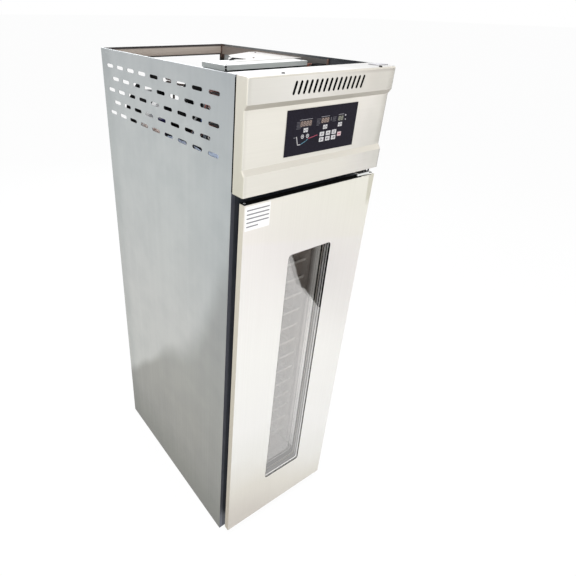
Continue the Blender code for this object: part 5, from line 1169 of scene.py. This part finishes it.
def wiring_duct():
    """The slotted duct on the electrical box's left side: comb fingers under a snap-on lid."""
    left, right = -0.152, corners("electrical_box")[0].x
    front, back, low, high = -0.124, -0.070, 1.745, 1.975
    fingers, wall, half = 18, 0.0014, 0.0042
    blocks = [((right - 0.0016, front, low), (right, back, high))]
    for k in range(fingers):
        z = low + (high - low) * (k + 0.5) / fingers
        blocks += [((left, y, z - half), (right - wall, y + wall, z + half)) for y in (front, back - wall)]
    blocks.append(((left - 0.0016, front - 0.001, low), (left, back + 0.001, high), 0.0005))
    piece("wiring_duct", bars(*blocks), "nylon")


def air_baffle():
    """The black sheet beside the condenser that parts its warm air from the electrical box."""
    side = (
        (0.004, ON_DECK), (0.268, ON_DECK), (0.268, 1.826), (0.136, 1.834), (0.136, 1.952), (0.004, 1.952),
    )
    shape = bmesh.new()
    skin(shape, [[(x, y, z) for y, z in side] for x in (-0.1170, -0.1155)])
    bars(
        ((-0.1300, 0.004, ON_DECK), (-0.1150, 0.268, 1.7140), 0.0004),
        ((-0.1170, 0.2640, ON_DECK), (-0.1015, 0.2660, 1.826)),
        ((-0.1030, 0.2645, ON_DECK), (-0.1015, 0.336, 1.826)),
        shape=shape,
    )
    piece("air_baffle", shape, "black_enamel")


def compressor_electrics():
    """The start relay's white cover, with a sloped side, and the start capacitor beside the compressor."""
    shape = bmesh.new()
    outline = ((-0.250, 1.772), (-0.178, 1.772), (-0.178, 1.848), (-0.198, 1.848), (-0.252, 1.790))
    slab(shape, outline, 0.200, 0.236)
    piece("start_relay_cover", shape, "relay_white", smooth=True)
    can = [(-0.202, 0.176, z) for z in (ON_DECK, 1.750, 1.786)]
    wires("start_capacitor", [can], "can_sleeve", 0.017, 24)
    blocks = [((-0.2210, 0.157, ON_DECK), (-0.183, 0.195, 1.7170), 0.001)]
    for x in (-0.208, -0.196):
        blocks.append(((x - 0.0025, 0.172, 1.785), (x + 0.0025, 0.180, 1.796), 0.0006))
    piece("capacitor_clip", bars(*blocks), "bright_zinc")


def filter_drier():
    """The copper filter drier beside the compressor: a fat tube with swaged ends on two clips."""
    front, back, centre = 0.070, 0.240, (-0.264, 1.757)
    swages = (
        (0.0, 0.004), (0.06, 0.004), (0.16, 0.013), (0.22, 0.0145),
        (0.80, 0.0145), (0.86, 0.013), (0.95, 0.004), (1.0, 0.004),
    )
    loops = []
    for share, radius in swages:
        loops.append(at_depth(circle(centre, radius, 20), front + (back - front) * share))
    tube = bmesh.new()
    skin(tube, loops)
    piece("filter_drier", tube, "tinned_copper", smooth=True)
    clips = bmesh.new()
    inner, outer = (circle(centre, radius, 20) for radius in (0.0142, 0.0158))
    for y in (0.118, 0.190):
        bars(((-0.2660, y, ON_DECK), (-0.2620, y + 0.008, 1.746), 0.0004), shape=clips)
        band(clips, inner, outer, y, y + 0.008)
    piece("filter_drier_clips", clips, "bright_zinc")


def deck_film():
    """The pale blue film left on the front part of the machine deck."""
    deck = corners("machine_deck")[1].z
    block = ((-0.2930, -0.4050, deck), (-0.1240, 0.2120, deck + 0.0003))
    piece("deck_film", bars(block), "deck_film")


def top_rails():
    """The rail inside the right side panel, its end bracket, the lid's gasket and the flange's tab."""
    low, high = corners("electrical_box_lid")
    flange = corners("fascia")[1].z
    rail = ((0.2935, -0.190, 1.9755), (0.2975, 0.478, 2.0100), 0.0006)
    bracket = ((0.2920, -0.1960, 1.955), (0.2975, -0.1890, 2.0125), 0.0006)
    edge = low.y + 0.0005
    gasket = ((low.x + 0.001, edge, low.z - 0.004), (high.x - 0.002, edge + 0.0030, low.z), 0.0004)
    tab = ((0.246, -0.4520, flange - 0.001), (0.2990, -0.4140, flange + 0.0028), 0.0008)
    piece("side_rail_right", bars(rail), "brown_rail")
    piece("side_rail_bracket", bars(bracket), "rusted_post")
    piece("lid_gasket", bars(gasket), "open_foam")
    piece("side_panel_tab", bars(tab), "tab_sheet")


def cover_slot():
    """The rubber edge of the cable slot in the pipe cover."""
    top = corners("pipe_cover")[1].z
    plan = ((-0.018, -0.006), (0.047, 0.058), (0.060, -0.010), (0.040, -0.012), (0.012, 0.000))
    shape = bmesh.new()
    skin(shape, [[(x, y, z) for x, y in plan] for z in (top - 0.0004, top + 0.0008)])
    piece("cover_cable_slot", shape, "open_foam")


# Trim of the fascia, the door and the back


def dust_filter():
    """The black foam sheet glued behind the fascia's slots, which also paints the dark shade seen through
    them.
    """
    block = ((-0.160, -0.4827, 1.953), (0.174, -0.4780, 2.011), 0.0012, 2)
    piece("fascia_dust_filter", bars(block), "open_foam", smooth=True)


def slot_grommets():
    """Black rims round the fascia's fifteen slanted slots: painted shade that makes them look wider."""
    low, high = corners("fascia")
    lean = Vector((0.0105, 0.034)).normalized()
    tilt = math.degrees(math.atan2(lean.y, lean.x))
    wide, narrow = 0.0042, 0.0022
    section = (
        (wide, low.y + 0.0004), (wide, low.y - 0.0003), (narrow, low.y - 0.0003), (narrow, low.y + 0.0016),
    )
    shape = bmesh.new()
    for n in range(15):
        centre = Vector((0.007 + 0.020 * (n - 7), high.z - 0.037))
        loops = []
        for radius, y in section:
            upper = arc(centre + lean * 0.0152, radius, tilt - 90, tilt + 90, 6)
            lower = arc(centre - lean * 0.0152, radius, tilt + 90, tilt + 270, 6)
            loops.append(at_depth(upper + lower, y))
        skin(shape, loops, endless=True)
    piece("slot_grommets", shape, "open_foam", smooth=True)


def door_top_strip():
    """A black strip along the door's top edge, painted shadow under the fascia, which ends at the hinge."""
    low, high = corners("door_outer_pan")
    stop = corners("hinge_bracket_top")[0].x - 0.004
    block = ((low.x + 0.001, low.y + 0.0012, high.z), (stop, high.y - 0.0004, high.z + 0.0022), 0.0008, 2)
    piece("door_top_strip", bars(block), "open_foam", "door", smooth=True)


def fascia_side_seals():
    """Black strips between the fascia's ends and the side panels, painted shade of the gaps there."""
    low, high = corners("fascia")
    blocks = [
        ((x, -0.4290, low.z + 0.003), (x + 0.003, -0.4258, high.z - 0.006), 0.0004)
        for x in (low.x - 0.0004, high.x - 0.0026)
    ]
    piece("fascia_side_seals", bars(*blocks), "open_foam")


def hinge_front():
    """The folded front edge of the upper hinge plate, with its bolts."""
    y = corners("hinge_bracket_top")[0].y
    lip = ((0.203, y, 1.6695), (0.262, y + 0.004, 1.6760), 0.0005)
    piece("hinge_plate_lip", bars(lip), "bright_zinc")
    bolts = [[(x, y + 0.006, z) for z in (1.6765, 1.6815, 1.6875)] for x in (0.232, 0.246, 0.262)]
    wires("hinge_bolts", bolts, "black_enamel", 0.0026, 6)


def back_panel_hems():
    """The folded hems of the back sheet, along both sides and the top, and its two pressed ribs."""
    low, high = corners("back_panel")
    blocks = [
        ((left, high.y - 0.0002, bottom), (right, high.y + 0.0010, high.z - 0.004), 0.0004)
        for left, right, bottom in (
            (-0.292, -0.270, low.z + 0.004), (0.270, 0.292, low.z + 0.004), (-0.270, 0.270, high.z - 0.026),
        )
    ]
    for z in (0.56, 1.12):
        rib = ((-0.240, high.y - 0.0008, z - 0.010), (0.240, high.y + 0.0018, z + 0.010), 0.0017, 2)
        blocks.append(rib)
    piece("back_panel_hems", bars(*blocks), "galvanised", smooth=True)


make_camera()
stage()
finish_nodes()
for make in (
    display_print, rules_print, keys_print, round_keys_and_lamps, curve_print, blank_label, dust_filter,
    window_seals, rack_tabs, all_screws, wiring_loom, machine_space_lines, wiring_duct, air_baffle,
    compressor_electrics, filter_drier, deck_film, top_rails, slot_grommets, door_top_strip,
    fascia_side_seals, hinge_front, chamber_joint_strips, cover_slot, back_panel_hems,
):
    make()
